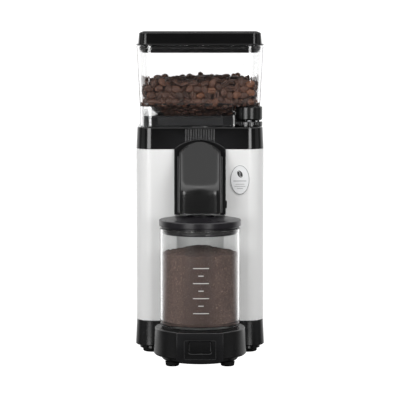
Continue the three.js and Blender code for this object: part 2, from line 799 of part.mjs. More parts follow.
function hopper() {
  const { ledge, rim } = HOPPER_INSETS;
  const bin = tapered([
    [ledge, LEDGE],
    [rim, HOPPER_RIM],
  ]);
  const floor = LEDGE + BIN_FLOOR;
  const binRoom = tapered([
    [ledge + HOPPER_WALL, floor],
    [rim + HOPPER_WALL, HOPPER_RIM],
    [rim + HOPPER_WALL, HOPPER_RIM + PAST],
  ]);
  const throat = rod(THROAT_RADIUS, THROAT_BOTTOM, FUNNEL_BOTTOM + 0.5, 0, AXIS_Y, 32);
  const [boreLow, boreHigh] = [THROAT_BOTTOM - PAST, FUNNEL_BOTTOM + 3];
  const bore = rod(THROAT_RADIUS - HOPPER_WALL, boreLow, boreHigh, 0, AXIS_Y, 32);
  const skirtOuter = prism(outline(SKIRT_INSET), SKIRT_BOTTOM, LEDGE + 0.5, 3);
  const skirtInner = prism(outline(SKIRT_INSET + SKIRT_WALL), SKIRT_BOTTOM - PAST, LEDGE, 3);
  const cornerWall = skirtOuter.intersect(knobPocket(SKIRT_WALL, SKIRT_BOTTOM, LEDGE));
  const skirt = skirtOuter.subtract(skirtInner).add(cornerWall);
  const corner = knobPocket(0, SKIRT_BOTTOM - PAST, LEDGE);
  const outside = union(bin, funnel(0, 0, LEDGE + 0.5), throat, skirt).subtract(corner);
  const cornerFloor = knobPocket(HOPPER_WALL, SKIRT_BOTTOM - PAST, floor);
  const funnelRoom = funnel(-HOPPER_WALL, 2, floor + 0.5).subtract(cornerFloor);
  return outside.subtract(binRoom).subtract(funnelRoom).subtract(bore);
}

// A band between two insets of the body's outline.
function band(outerInset, innerInset, low, high) {
  const outer = prism(outline(outerInset), low, high, 3);
  return outer.subtract(prism(outline(innerInset), low - PAST, high + PAST, 3));
}

function hopperLid() {
  const levels = [
    [2.2, HOPPER_RIM + 1.2],
    [3.2, LID_TOP - 0.5],
    [3.7, LID_TOP],
  ];
  const top = tapered(levels, LID_CORNER);
  const flange = prism(outline(0), HOPPER_RIM + GAP, HOPPER_RIM + 1.5, 3);
  const plug = tapered([
    [6.3, PLUG_BOTTOM],
    [PLUG_INSET, PLUG_BOTTOM + 3.2],
    [PLUG_INSET, HOPPER_RIM + 1],
  ]);
  const [low, high] = SEAL_GROOVE;
  const groove = band(PLUG_INSET - 2, PLUG_INSET + 1, low, high);
  const room = prism(outline(8.3), PLUG_BOTTOM - PAST, LID_TOP - MOULDED, 3);
  return union(top, flange, plug).subtract(groove).subtract(room);
}

function hopperLidSeal() {
  const [low, high] = SEAL_GROOVE;
  return band(PLUG_INSET - GAP, PLUG_INSET + 0.7, low + GAP, high - GAP);
}

// ---- Chute ----

function chuteFrame() {
  const spring = SHELL_TOP + GAP;
  const face = arch(FRAME_HALF_WIDTH, FRAME_BOTTOM, spring, ARCH_SAGITTA);
  const plate = facing(face, FRAME_FRONT, BODY_FRONT - GAP, 16);
  const lipFace = arch(FRAME_HALF_WIDTH, spring + 0.1, spring + 0.2, ARCH_SAGITTA - 0.2);
  const lip = facing(lipFace, BODY_FRONT - 1, BODY_FRONT + 2, 16);
  const [ductLow, ductHigh] = DUCT;
  const w = DUCT_HALF_WIDTH;
  const window = block([-w, w], [-60, -40], [ductLow - 1, ductHigh]);
  const rampFront = FRAME_FRONT - 18;
  const side = polygon([
    [FRAME_FRONT + 0.5, ductLow - 1],
    [rampFront, RAMP_BOTTOM + 8],
    [rampFront, RAMP_BOTTOM],
    [rampFront + 2.5, RAMP_BOTTOM],
    [rampFront + 2.5, RAMP_BOTTOM + 6.5],
    [FRAME_FRONT + 0.5, ductLow - 5],
  ]);
  const ramp = across(side, COVER_HALF_WIDTH - COVER_WALL - 0.5);
  const grown = ([low, high], margin) => [low - margin, high + margin];
  const depth = [TAB.x[0] - 1.4, FRAME_HALF_WIDTH + PAST];
  const tabPocket = block(depth, grown(TAB.y, GAP), grown(TAB.z, 0.4));
  const footInside = FRAME_HALF_WIDTH - FRAME_FOOT;
  const lidRoom = block([-footInside, footInside], [-60, -40], [FRAME_BOTTOM - PAST, COVER_BOTTOM]);
  return union(plate, lip, ramp).subtract(lidRoom).subtract(window).subtract(tabPocket);
}

function releaseTab() {
  return block(TAB.x, TAB.y, TAB.z);
}

// The smaller of two numbers, with the corner between them rounded.
function smoothMin(a, b, radius) {
  const blend = Math.max(radius - Math.abs(a - b), 0) / radius;
  return Math.min(a, b) - (blend * blend * radius) / 4;
}

// How far the cover stands forward of the frame at a height.
function coverDepth(height) {
  const slanted = (COVER_TOP - height) * COVER_SLOPE;
  const upright = COVER_DEPTH - (181 - height) * 0.06;
  return smoothMin(slanted, upright, 6);
}

function coverHalfWidth(height) {
  if (height <= COVER_ARCH) return COVER_HALF_WIDTH;
  const sagitta = COVER_TOP - COVER_ARCH;
  const radius = (COVER_HALF_WIDTH ** 2 + sagitta ** 2) / (2 * sagitta);
  return Math.sqrt(Math.max(radius ** 2 - (height - COVER_TOP + radius) ** 2, 0));
}

// One level of the cover: a flat back and a front that bulges forward in the middle.
function coverRing(height, shrink, back) {
  const halfWidth = Math.max(coverHalfWidth(height) - shrink, 0.5);
  const depth = Math.max(coverDepth(height) - shrink, 0.2);
  const bulge = THREE.MathUtils.mapLinear(height, COVER_BOTTOM, COVER_TOP, 0.03, 0.08);
  const front = FRAME_FRONT - GAP;
  const points = [
    [halfWidth, back, height],
    [-halfWidth, back, height],
  ];
  const columns = 8;
  for (let i = 0; i <= columns; i++) {
    const side = (2 * i) / columns - 1;
    points.push([halfWidth * side, front - depth * (1 - bulge * side ** 2), height]);
  }
  return points;
}

function chuteCover() {
  const back = FRAME_FRONT - GAP;
  const levels = 14;
  const outer = [];
  const inner = [coverRing(COVER_BOTTOM - 2, COVER_WALL, back + 2)];
  for (let i = 0; i <= levels; i++) {
    const share = Math.sin((Math.PI / 2) * (i / levels));
    const outerHeight = THREE.MathUtils.lerp(COVER_BOTTOM, COVER_TOP - 0.05, share);
    const innerHeight = THREE.MathUtils.lerp(COVER_BOTTOM, COVER_TOP - 2.5, share);
    outer.push(coverRing(outerHeight, 0, back));
    inner.push(coverRing(innerHeight, COVER_WALL, back + 2));
  }
  return loft(outer).subtract(loft(inner));
}

// ---- Jar ----

function jarGlass() {
  const floor = JAR_BOTTOM + JAR_FLOOR;
  const inner = JAR_RADIUS - JAR_WALL;
  const profile = [
    [0, JAR_BOTTOM],
    [JAR_RADIUS - 3.5, JAR_BOTTOM],
    [JAR_RADIUS - 1, JAR_BOTTOM + 1],
    [JAR_RADIUS, JAR_BOTTOM + 3.5],
    [JAR_RADIUS, JAR_RIM - 0.8],
    [JAR_RADIUS - 1.1, JAR_RIM],
    [inner, JAR_RIM - 0.8],
    [inner, floor + 4],
    [inner - 1.2, floor + 1.2],
    [inner - 4, floor],
    [0, floor],
  ];
  return turned(profile, 0, JAR_Y, 36);
}

// A brim on the glass, a plug inside it with a groove for the seal, and a hole in the middle.
function jarLid() {
  const [grooveLow, grooveHigh] = LID_GROOVE;
  const plug = JAR_RADIUS - JAR_WALL - 0.8;
  const plugBottom = JAR_RIM - 6.1;
  const brim = JAR_RADIUS + 0.8;
  const underside = JAR_RIM + 4.5;
  const profile = [
    [LID_HOLE_RADIUS, underside],
    [plug - 3, underside],
    [plug - 3, plugBottom],
    [plug - 1.3, plugBottom],
    [plug, plugBottom + 1.5],
    [plug, grooveLow],
    [plug - 1, grooveLow],
    [plug - 1, grooveHigh],
    [plug, grooveHigh],
    [plug, JAR_RIM + 1],
    [brim, JAR_RIM + 1],
    [brim, JAR_RIM + 7.6],
    [brim - 0.6, JAR_RIM + 8.3],
    [32, JAR_RIM + 8.9],
    [LID_HOLE_RADIUS + 1, JAR_RIM + 11.4],
    [LID_HOLE_RADIUS, JAR_RIM + 11.4],
    [LID_HOLE_RADIUS, underside],
  ];
  return turned(profile, 0, JAR_Y, 36);
}

function jarLidSeal() {
  const outer = JAR_RADIUS - JAR_WALL - 0.5;
  const [low, high] = LID_GROOVE;
  return ring(outer - 1, outer, low + GAP, high - GAP, 0, JAR_Y, 36);
}

function jarMat() {
  return rod(MAT_RADIUS, BASE_TOP - 1, MAT_TOP, 0, JAR_Y, 40);
}

// ---- Assembly ----

place("base_housing", baseHousing(), BLACK_PLASTIC);
place("bottom_cover", bottomCover(), BLACK_PLASTIC);
for (const [side, sign] of [["left", -1], ["right", 1]]) {
  place(`front_foot_${side}`, foot(FRONT_FOOT, sign * FRONT_FOOT.x, FRONT_FOOT.y), RUBBER);
  for (const [row, y] of Object.entries(FOOT_ROWS)) {
    place(`${row}_foot_${side}`, foot(FOOT, sign * FOOT.x, y), RUBBER);
  }
  BASE_SCREW.ys.forEach((y, row) => {
    place(`base_screw_${side}_${row + 1}`, baseScrew(sign * BASE_SCREW.x, y), STEEL);
  });
  POST.ys.forEach((y, row) => {
    place(`support_post_${side}_${row + 1}`, supportPost(sign * POST.x, y), STEEL);
  });
}
place("switch_panel", switchPanel(), BLACK_PLASTIC);
place("power_button", powerButton(), BLACK_PLASTIC);
place("button_spring", buttonSpring(), STEEL);
place("switch_module", switchModule(), SATIN_BLACK);
place("circuit_board", circuitBoard(), BOARD_GREEN);
place("cable_gland", cableGland(), RUBBER);
place("jar_mat", jarMat(), RUBBER);

place("body_shell", bodyShell(), WHITE_PAINT);
place("badge", badge(), BADGE_WHITE);
place("top_collar", topCollar(), BLACK_PLASTIC);
place("top_plate", topPlate(), STEEL);
place("hopper_base", hopperBase(), BLACK_PLASTIC);
place("scale_ring", scaleRing(), BLACK_PLASTIC);

place("burr_chamber", burrChamber(), CAST_ALUMINIUM);
place("adjusting_ring", adjustingRing(), CAST_ALUMINIUM);
place("upper_burr", upperBurr(), STEEL);
burrScrewPlaces().forEach(([x, y], index) => {
  place(`burr_screw_${index + 1}`, burrScrew(x, y), STEEL);
});
place("lower_burr", lowerBurr(), STEEL);
place("burr_carrier", burrCarrier(), CAST_ALUMINIUM);
place("burr_nut", burrNut(), STEEL);

place("motor_mount", motorMount(), STEEL);
place("motor_can", motorCan(), STEEL);
place("motor_end_cap", motorEndCap(), CAST_ALUMINIUM);
place("upper_bearing", bearing(CAN[1] - 4), STEEL);
place("lower_bearing", bearing(CAN[0] - 7), STEEL);
place("stator", stator(), COPPER);
place("rotor_core", rotorCore(), STEEL);
place("motor_shaft", motorShaft(), STEEL);
place("cooling_fan", coolingFan(), SATIN_BLACK);

place("adjust_knob", adjustKnob(), BLACK_PLASTIC);
place("knob_spindle", knobSpindle(), STEEL);
place("hopper", hopper(), CLEAR_PLASTIC);
place("hopper_lid", hopperLid(), BLACK_PLASTIC);
place("hopper_lid_seal", hopperLidSeal(), RUBBER);

place("chute_frame", chuteFrame(), BLACK_PLASTIC);
place("chute_cover", chuteCover(), SATIN_BLACK);
place("release_tab", releaseTab(), BLACK_PLASTIC);

place("jar_glass", jarGlass(), GLASS);
place("jar_lid", jarLid(), LID_PLASTIC);
place("jar_lid_seal", jarLidSeal(), RUBBER);

export default grinder;
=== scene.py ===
"""The looks of a burr coffee grinder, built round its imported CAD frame.

Lengths are in millimetres until shape() turns them into metres, and in metres in the studio. Z is up
and the front faces -Y.
"""

import json
import math
import random

import bmesh
import bpy
import numpy as np
from mathutils import Matrix, Vector, noise


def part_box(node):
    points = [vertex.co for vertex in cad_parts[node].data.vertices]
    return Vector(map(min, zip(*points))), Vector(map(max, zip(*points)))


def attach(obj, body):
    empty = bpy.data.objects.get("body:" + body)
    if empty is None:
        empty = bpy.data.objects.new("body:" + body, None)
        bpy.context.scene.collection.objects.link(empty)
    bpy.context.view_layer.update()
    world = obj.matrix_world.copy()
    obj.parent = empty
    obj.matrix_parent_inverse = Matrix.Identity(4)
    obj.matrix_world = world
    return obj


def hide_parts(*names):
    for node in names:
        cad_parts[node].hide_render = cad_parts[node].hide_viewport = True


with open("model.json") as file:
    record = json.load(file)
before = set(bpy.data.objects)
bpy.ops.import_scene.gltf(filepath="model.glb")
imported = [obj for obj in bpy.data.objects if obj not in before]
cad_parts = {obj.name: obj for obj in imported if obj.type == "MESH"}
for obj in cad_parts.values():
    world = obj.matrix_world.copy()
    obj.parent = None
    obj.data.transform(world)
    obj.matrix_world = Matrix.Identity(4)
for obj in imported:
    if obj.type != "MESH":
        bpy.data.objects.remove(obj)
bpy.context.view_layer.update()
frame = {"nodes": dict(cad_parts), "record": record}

MM = 0.001
BODY_OF = {
    node: body
    for body, nodes in frame["record"]["behaviour"]["bodies"].items()
    for node in nodes
}
SLOT_OF = {row["node"]: row["material_slot"] for row in frame["record"]["subparts"]}

# ---- Places taken from the CAD frame ----


def box_mm(node):
    """A CAD node's lowest and highest corners in millimetres."""
    low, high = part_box(node)
    return low / MM, high / MM


SHELL_LOW, SHELL_HIGH = box_mm("body_shell")
COLLAR_LOW, COLLAR_HIGH = box_mm("top_collar")
HOPPER_LOW, HOPPER_HIGH = box_mm("hopper")
LID_LOW, LID_HIGH = box_mm("hopper_lid")
GLASS_LOW, GLASS_HIGH = box_mm("jar_glass")
JAR_LID_LOW, JAR_LID_HIGH = box_mm("jar_lid")
MAT_LOW, MAT_HIGH = box_mm("jar_mat")
KNOB_LOW, KNOB_HIGH = box_mm("adjust_knob")
RING_LOW, RING_HIGH = box_mm("scale_ring")
BOSS_LOW, BOSS_HIGH = box_mm("hopper_base")
FRAME_LOW, FRAME_HIGH = box_mm("chute_frame")
COVER_LOW, COVER_HIGH = box_mm("chute_cover")
TAB_LOW, TAB_HIGH = box_mm("release_tab")
PANEL_LOW, PANEL_HIGH = box_mm("switch_panel")
BUTTON_LOW, BUTTON_HIGH = box_mm("power_button")
BADGE_LOW, BADGE_HIGH = box_mm("badge")
HOUSING_LOW, HOUSING_HIGH = box_mm("base_housing")
BOTTOM_LOW, BOTTOM_HIGH = box_mm("bottom_cover")
GLAND_LOW, GLAND_HIGH = box_mm("cable_gland")
BURR_LOW, BURR_HIGH = box_mm("lower_burr")

BODY_HALF_WIDTH = SHELL_HIGH.x
BODY_FRONT = SHELL_LOW.y
BODY_REAR = SHELL_HIGH.y
JAR_Y = (GLASS_LOW.y + GLASS_HIGH.y) / 2
JAR_RADIUS = GLASS_HIGH.x
KNOB_X = (KNOB_LOW.x + KNOB_HIGH.x) / 2
KNOB_Y = (KNOB_LOW.y + KNOB_HIGH.y) / 2
KNOB_RADIUS = (KNOB_HIGH.x - KNOB_LOW.x) / 2
AXIS_Y = (BURR_LOW.y + BURR_HIGH.y) / 2

# ---- Sizes that no node's box gives, as in the CAD source ----

BODY_CORNER = 17.7
LID_CORNER = 12.2
SHEET = 1.5
MOULDED = 2.5
RECESS_RADIUS = 45.1
RECESS_TOP = 152.2
LEDGE = 262.8
LEDGE_INSET = 3.7
RIM_INSET = 0.4
HOPPER_WALL = 2.5
BIN_FLOOR = 1.5
SKIRT_INSET = 4.1
SKIRT_WALL = 2
SKIRT_BOTTOM = 242
FUNNEL_BOTTOM = 245
FUNNEL_MOUTH = (57, 78)
THROAT_RADIUS = 20
POCKET_RADIUS = 15.2
BOSS_INSET = 7.6
PLATFORM_RADIUS = 46.4
PLATFORM_ROOM = 41.4
STEP_RADIUS = 39.6
JAR_WALL = 2.2
JAR_FLOOR = 3
FRAME_FRONT = -50
ARCH_SAGITTA = 9.9
COVER_ARCH = 216
COVER_DEPTH = 40.5
COVER_SLOPE = 0.9
COVER_WALL = 2
COVER_CORNER = 0.3
COVER_ROUNDING = 4.5
CHUTE_WINDOW = (187.5, 204.5)
RIB_COUNT = 12
RIB_PITCH = 2.66
RIB_RADIUS = 0.7
RIB_RELIEF = 0.13
GAP = 0.3
PAST = 1

# ---- Shapes ----


def shape(vertices, faces):
    """A new object from points in millimetres, its faces pointing outwards."""
    mesh = bpy.data.meshes.new("shape")
    mesh.from_pydata([[value * MM for value in point] for point in vertices], [], faces)
    work = bmesh.new()
    work.from_mesh(mesh)
    bmesh.ops.recalc_face_normals(work, faces=work.faces)
    work.to_mesh(mesh)
    work.free()
    obj = bpy.data.objects.new("shape", mesh)
    bpy.context.scene.collection.objects.link(obj)
    return obj


def loft(rings, closed=False):
    """A shape through rings of equal counts of points, joined up with itself if closed, or else capped."""
    count = len(rings[0])
    vertices = [point for ring in rings for point in ring]
    levels = len(rings) if closed else len(rings) - 1
    faces = []
    for level in range(levels):
        here = level * count
        above = (level + 1) % len(rings) * count
        for i in range(count):
            j = (i + 1) % count
            faces.append([here + i, here + j, above + j, above + i])
    if not closed:
        last = (len(rings) - 1) * count
        faces.append(list(reversed(range(count))))
        faces.append(list(range(last, last + count)))
    return shape(vertices, faces)


def fillet(corners, closed=False, steps=5):
    """Points along a path of (a, b) or (a, b, radius) corners, each rounded to its radius."""
    points = []
    for i, (a, b, *rest) in enumerate(corners):
        radius = rest[0] if rest else 0
        at_end = not closed and i in (0, len(corners) - 1)
        if at_end or not radius:
            points.append((a, b))
            continue
        here = Vector((a, b))
        before = Vector(corners[i - 1][:2]) - here
        after = Vector(corners[(i + 1) % len(corners)][:2]) - here
        half_angle = before.angle(after) / 2
        reach = radius / math.tan(half_angle)
        reach = min(reach, before.length * 0.48, after.length * 0.48)
        start = here + before.normalized() * reach
        end = here + after.normalized() * reach
        for step in range(steps + 1):
            t = step / steps
            bent = start * (1 - t) ** 2 + here * 2 * t * (1 - t) + end * t**2
            points.append((bent.x, bent.y))
    return points


def turned(corners, x=0, y=0, segments=96):
    """A shape from (radius, height[, fillet]) corners turned about an upright axis.

    It is solid if it starts on the axis.
    """
    solid = corners[0][0] == 0
    profile = fillet(corners, closed=not solid)
    vertices = []
    rings = []
    for radius, height in profile:
        count = segments if radius > 0 else 1
        rings.append([len(vertices) + i for i in range(count)])
        for i in range(count):
            angle = 2 * math.pi * i / segments
            vertices.append((x + radius * math.cos(angle), y + radius * math.sin(angle), height))
    pairs = list(zip(rings, rings[1:]))
    if not solid:
        pairs.append((rings[-1], rings[0]))
    faces = []
    for lower, upper in pairs:
        for i in range(segments):
            j = (i + 1) % segments
            around = [ring[k % len(ring)] for ring, k in ((lower, i), (lower, j), (upper, j), (upper, i))]
            faces.append(list(dict.fromkeys(around)))
    return shape(vertices, faces)


def rod(radius, low, high, x=0, y=0, segments=96):
    return turned([(0, low), (radius, low), (radius, high), (0, high)], x, y, segments)


def rounded(x0, x1, y0, y1, radius, steps=12):
    """A rounded rectangle's points, anticlockwise."""
    centres = [
        (x1 - radius, y1 - radius, 0),
        (x0 + radius, y1 - radius, 90),
        (x0 + radius, y0 + radius, 180),
        (x1 - radius, y0 + radius, 270),
    ]
    points = []
    for x, y, start in centres:
        for step in range(steps + 1):
            angle = math.radians(start + 90 * step / steps)
            points.append((x + radius * math.cos(angle), y + radius * math.sin(angle)))
    return points


def outline(inset, corner=BODY_CORNER):
    """The body's plan outline, moved in by an inset."""
    x = BODY_HALF_WIDTH - inset
    return rounded(-x, x, BODY_FRONT + inset, BODY_REAR - inset, corner - inset)


def swept(corners, closed=False, plan=outline):
    """A shape from (inset, height[, fillet]) corners, its plan outline moved in by the inset at each."""
    profile = fillet(corners, closed)
    return loft([[(x, y, height) for x, y in plan(inset)] for inset, height in profile], closed)


def prism(points, low, high):
    """A plan outline, standing from one height to another."""
    return loft([[(x, y, height) for x, y in points] for height in (low, high)])


def facing(points, front, rear):
    """An outline drawn in X and Z, reaching from its front to its rear."""
    return loft([[(x, y, z) for x, z in points] for y in (front, rear)])


def block(x0, x1, y0, y1, z0, z1):
    return prism([(x0, y0), (x1, y0), (x1, y1), (x0, y1)], z0, z1)


def circle(radius, x=0, y=0, count=48):
    return [
        (x + radius * math.cos(2 * math.pi * i / count), y + radius * math.sin(2 * math.pi * i / count))
        for i in range(count)
    ]


def tube(path, radius, closed=False, sides=8):
    """A round wire along a path of (x, y, z) points, with rounded ends."""
    points = [Vector(point) for point in path]
    end_shifts = {} if closed else {0: [-1.0, -0.6, 0.0], len(points) - 1: [0.0, 0.6, 1.0]}
    rings = []
    for i, point in enumerate(points):
        if closed:
            along = points[(i + 1) % len(points)] - points[i - 1]
        else:
            along = points[min(i + 1, len(points) - 1)] - points[max(i - 1, 0)]
        along.normalize()
        aside = along.cross(Vector((0, 1, 0)) if abs(along.y) < 0.9 else Vector((1, 0, 0))).normalized()
        up = aside.cross(along)
        for shift in end_shifts.get(i, [0.0]):
            size = radius * max(math.sqrt(1 - shift**2), 0.05)
            middle = point + along * shift * radius
            ring = []
            for side in range(sides):
                angle = 2 * math.pi * side / sides
                ring.append(tuple(middle + (aside * math.cos(angle) + up * math.sin(angle)) * size))
            rings.append(ring)
    return loft(rings, closed)


# ---- Working on shapes ----


def moved(x, y, z):
    return Matrix.Translation(Vector((x, y, z)) * MM)


def turn_about_knob(angle):
    """A shape made about the origin, turned and carried to the knob's axis."""
    return moved(KNOB_X, KNOB_Y, 0) @ Matrix.Rotation(angle, 4, "Z")


def apply_modifiers(obj):
    graph = bpy.context.evaluated_depsgraph_get()
    mesh = bpy.data.meshes.new_from_object(obj.evaluated_get(graph))
    obj.modifiers.clear()
    obj.data = mesh


def combine(obj, tool, operation):
    """Adds or cuts away what a second shape covers, and removes that shape."""
    modifier = obj.modifiers.new("combine", "BOOLEAN")
    modifier.solver = "EXACT"
    modifier.operation = operation
    modifier.object = tool
    apply_modifiers(obj)
    bpy.data.objects.remove(tool)
    return obj


def add(obj, *tools):
    for tool in tools:
        combine(obj, tool, "UNION")
    return obj


def cut(obj, *tools):
    for tool in tools:
        combine(obj, tool, "DIFFERENCE")
    return obj


def together(*objs):
    """Several shapes as one object."""
    work = bmesh.new()
    for obj in objs:
        work.from_mesh(obj.data)
    first = objs[0]
    work.to_mesh(first.data)
    work.free()
    for obj in objs[1:]:
        bpy.data.objects.remove(obj)
    return first


def soften(obj, width, segments=2, angle=32):
    """Rounds the sharp edges that are left."""
    bevel = obj.modifiers.new("edges", "BEVEL")
    bevel.width = width * MM
    bevel.segments = segments
    bevel.limit_method = "ANGLE"
    bevel.angle_limit = math.radians(angle)
    bevel.use_clamp_overlap = False
    bevel.miter_outer = "MITER_ARC"
    return obj


def smooth(obj, angle=32):
    """Smooth shading but across sharp corners, with flat faces kept flat."""
    mesh = obj.data
    mesh.shade_smooth()
    mesh.set_sharp_from_angle(angle=math.radians(angle))
    weighted = obj.modifiers.new("normals", "WEIGHTED_NORMAL")
    weighted.keep_sharp = True
    weighted.weight = 80
    return obj


def finish(obj, name, body, material):
    """Names a piece, gives it its material and lets it ride on a body."""
    obj.name = name
    obj.data.name = name
    obj.data.materials.clear()
    obj.data.materials.append(material)
    smooth(obj)
    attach(obj, body)
    return obj


def stand_for(node, obj, bevel=0, material=None):
    """Shows a finer shape in place of a CAD node, in that node's material or a finer one."""
    if bevel:
        soften(obj, bevel)
    slot = SLOT_OF[node]
    finish(obj, node + "_fine", BODY_OF[node], material or MATERIALS[slot])
    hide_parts(node)
    return obj


# ---- Materials ----


class Graph:
    """A node tree and the ways to build it."""

    def __init__(self, tree):
        self.tree = tree

    def add(self, kind, **settings):
        node = self.tree.nodes.new("ShaderNode" + kind)
        for key, value in settings.items():
            setattr(node, key, value)
        return node

    def link(self, source, target):
        self.tree.links.new(source, target)

    def spread(self, source, low, high, start, end, interpolation="LINEAR"):
        """Goes from start to end as the source goes from low to high."""
        node = self.add("MapRange", interpolation_type=interpolation)
        for name, value in (("From Min", low), ("From Max", high), ("To Min", start), ("To Max", end)):
            node.inputs[name].default_value = value
        self.link(source, node.inputs["Value"])
        return node.outputs["Result"]


class Nodes(Graph):
    """A material's node tree, with its one Principled shader."""

    def __init__(self, name):
        self.material = bpy.data.materials.new(name)
        self.material.use_nodes = True
        super().__init__(self.material.node_tree)
        self.shader = self.tree.nodes["Principled BSDF"]
        self.output = self.tree.nodes["Material Output"]

    def set(self, **values):
        for key, value in values.items():
            self.shader.inputs[key.replace("_", " ")].default_value = value

    def place(self):
        """Where a point is on the object, in metres."""
        return self.add("TexCoord").outputs["Object"]

    def painted_shade_near_middle(self, full, gone):
        """How near a point is to the object's middle plane, as the strength of the painted shade there: 0.75
        up to one distance, 0 from another.
        """
        split = self.add("SeparateXYZ")
        self.link(self.place(), split.inputs["Vector"])
        distance = self.add("Math", operation="ABSOLUTE")
        self.link(split.outputs["X"], distance.inputs[0])
        return self.spread(distance.outputs[0], full, gone, 0.75, 0.0, "SMOOTHSTEP")

    def grain(self, scale, detail=3, roughness=0.5, stretch=(1, 1, 1)):
        """Cloudy noise with about that many features to the metre."""
        mapping = self.add("Mapping")
        mapping.inputs["Scale"].default_value = stretch
        self.link(self.place(), mapping.inputs["Vector"])
        texture = self.add("TexNoise")
        texture.inputs["Scale"].default_value = scale
        texture.inputs["Detail"].default_value = detail
        texture.inputs["Roughness"].default_value = roughness
        self.link(mapping.outputs["Vector"], texture.inputs["Vector"])
        return texture.outputs["Fac"]

    def ramp(self, source, *stops):
        """Colours by the source's value: (position, grey or colour) stops."""
        ramp = self.add("ValToRGB")
        elements = ramp.color_ramp.elements
        while len(elements) < len(stops):
            elements.new(0.5)
        for element, (position, value) in zip(elements, stops):
            element.position = position
            colour = (value, value, value) if isinstance(value, (int, float)) else value
            element.color = (*colour, 1)
        self.link(source, ramp.inputs["Fac"])
        return ramp.outputs["Color"]

    def mix(self, factor, first, second, blend="MIX"):
        """Mixes two colours; each may be a socket or a plain colour."""
        mix = self.add("Mix", data_type="RGBA", blend_type=blend)
        factor_socket, a_socket, b_socket = mix.inputs["Factor"], mix.inputs[6], mix.inputs[7]
        for value, socket in ((factor, factor_socket), (first, a_socket), (second, b_socket)):
            if isinstance(value, bpy.types.NodeSocket):
                self.link(value, socket)
            elif isinstance(value, tuple):
                socket.default_value = (*value, 1)
            else:
                socket.default_value = value
        return mix.outputs[2]

    def bump(self, height, strength, distance):
        """Fine relief; distance is in millimetres."""
        bump = self.add("Bump")
        bump.inputs["Strength"].default_value = strength
        bump.inputs["Distance"].default_value = distance * MM
        self.link(height, bump.inputs["Height"])
        previous = self.shader.inputs["Normal"]
        if previous.is_linked:
            self.link(previous.links[0].from_socket, bump.inputs["Normal"])
        self.link(bump.outputs["Normal"], self.shader.inputs["Normal"])

    def edges(self):
        """Close to 1 along worn outer edges."""
        return self.ramp(self.add("NewGeometry").outputs["Pointiness"], (0.52, 0), (0.6, 1))

    def colour(self, socket):
        self.link(socket, self.shader.inputs["Base Color"])

    def roughness(self, source, low, high):
        """Roughness between two values as the source goes from dark to light."""
        self.link(self.spread(source, 0.3, 0.7, low, high), self.shader.inputs["Roughness"])


def painted(name, base, shade, low, high):
    """Powder-coated sheet metal with faint orange peel."""
    nodes = Nodes(name)
    nodes.colour(nodes.mix(nodes.grain(14), base, shade))
    nodes.roughness(nodes.grain(60), low, high)
    nodes.bump(nodes.grain(1400, 2), 0.12, 0.05)
    nodes.set(Coat_Weight=0.15, Coat_Roughness=0.2)
    return nodes.material


def moulded(name, dark, light, worn, low, high, relief, grain_scale=4200):
    """Moulded plastic with a fine spark-eroded grain, uneven gloss and edges rubbed lighter."""
    nodes = Nodes(name)
    cloudy = nodes.mix(nodes.grain(35, 4), dark, light)
    nodes.colour(nodes.mix(nodes.edges(), cloudy, worn))
    nodes.roughness(nodes.grain(90, 4), low, high)
    nodes.bump(nodes.grain(grain_scale, 2), relief, 0.04)
    return nodes.material


def matt(name, dark, light):
    """A dull, leathery moulded face that mirrors next to nothing."""
    nodes = Nodes(name)
    nodes.colour(nodes.mix(nodes.grain(900, 3), dark, light))
    nodes.set(Roughness=0.85, Specular_IOR_Level=0.08)
    nodes.bump(nodes.grain(2600, 2), 0.2, 0.05)
    return nodes.material


def see_through(name, ior, tint, roughness, speck_scale):
    """Clear glass or plastic that lets the lamps' light through to what is behind it."""
    nodes = Nodes(name)
    nodes.set(Base_Color=(*tint, 1), Transmission_Weight=1.0, IOR=ior)
    nodes.roughness(nodes.grain(speck_scale, 5), roughness, roughness * 2.5)
    nodes.bump(nodes.grain(24, 2), 0.02, 0.3)
    light_path = nodes.add("LightPath")
    clear = nodes.add("BsdfTransparent")
    clear.inputs["Color"].default_value = (*[0.94 * value for value in tint], 1)
    mix = nodes.add("MixShader")
    nodes.link(light_path.outputs["Is Shadow Ray"], mix.inputs["Fac"])
    nodes.link(nodes.shader.outputs["BSDF"], mix.inputs[1])
    nodes.link(clear.outputs["BSDF"], mix.inputs[2])
    nodes.link(mix.outputs["Shader"], nodes.output.inputs["Surface"])
    return nodes.material


def machined(name, dark, light, low, high, stretch):
    """Metal with fine turning or rolling marks and a few dull patches."""
    nodes = Nodes(name)
    marks = nodes.grain(900, 4, 0.6, stretch)
    nodes.colour(nodes.mix(marks, dark, light))
    nodes.roughness(nodes.grain(120, 3), low, high)
    nodes.bump(marks, 0.15, 0.03)
    nodes.set(Metallic=1.0)
    return nodes.material


def cast(name):
    """Die-cast aluminium with a sandy skin."""
    nodes = Nodes(name)
    skin = nodes.grain(1500, 5, 0.65)
    nodes.colour(nodes.mix(skin, (0.42, 0.43, 0.44), (0.62, 0.63, 0.64)))
    nodes.roughness(nodes.grain(150, 3), 0.42, 0.6)
    nodes.bump(skin, 0.3, 0.08)
    nodes.set(Metallic=0.9)
    return nodes.material


def rubber(name):
    nodes = Nodes(name)
    dusty = nodes.ramp(nodes.grain(70, 5), (0.45, (0.004, 0.004, 0.004)), (0.8, (0.011, 0.0107, 0.0104)))
    nodes.colour(nodes.mix(nodes.edges(), dusty, (0.016, 0.0155, 0.015)))
    nodes.set(Specular_IOR_Level=0.2)
    nodes.roughness(nodes.grain(200, 4), 0.65, 0.9)
    nodes.bump(nodes.grain(2600, 3), 0.25, 0.06)
    return nodes.material


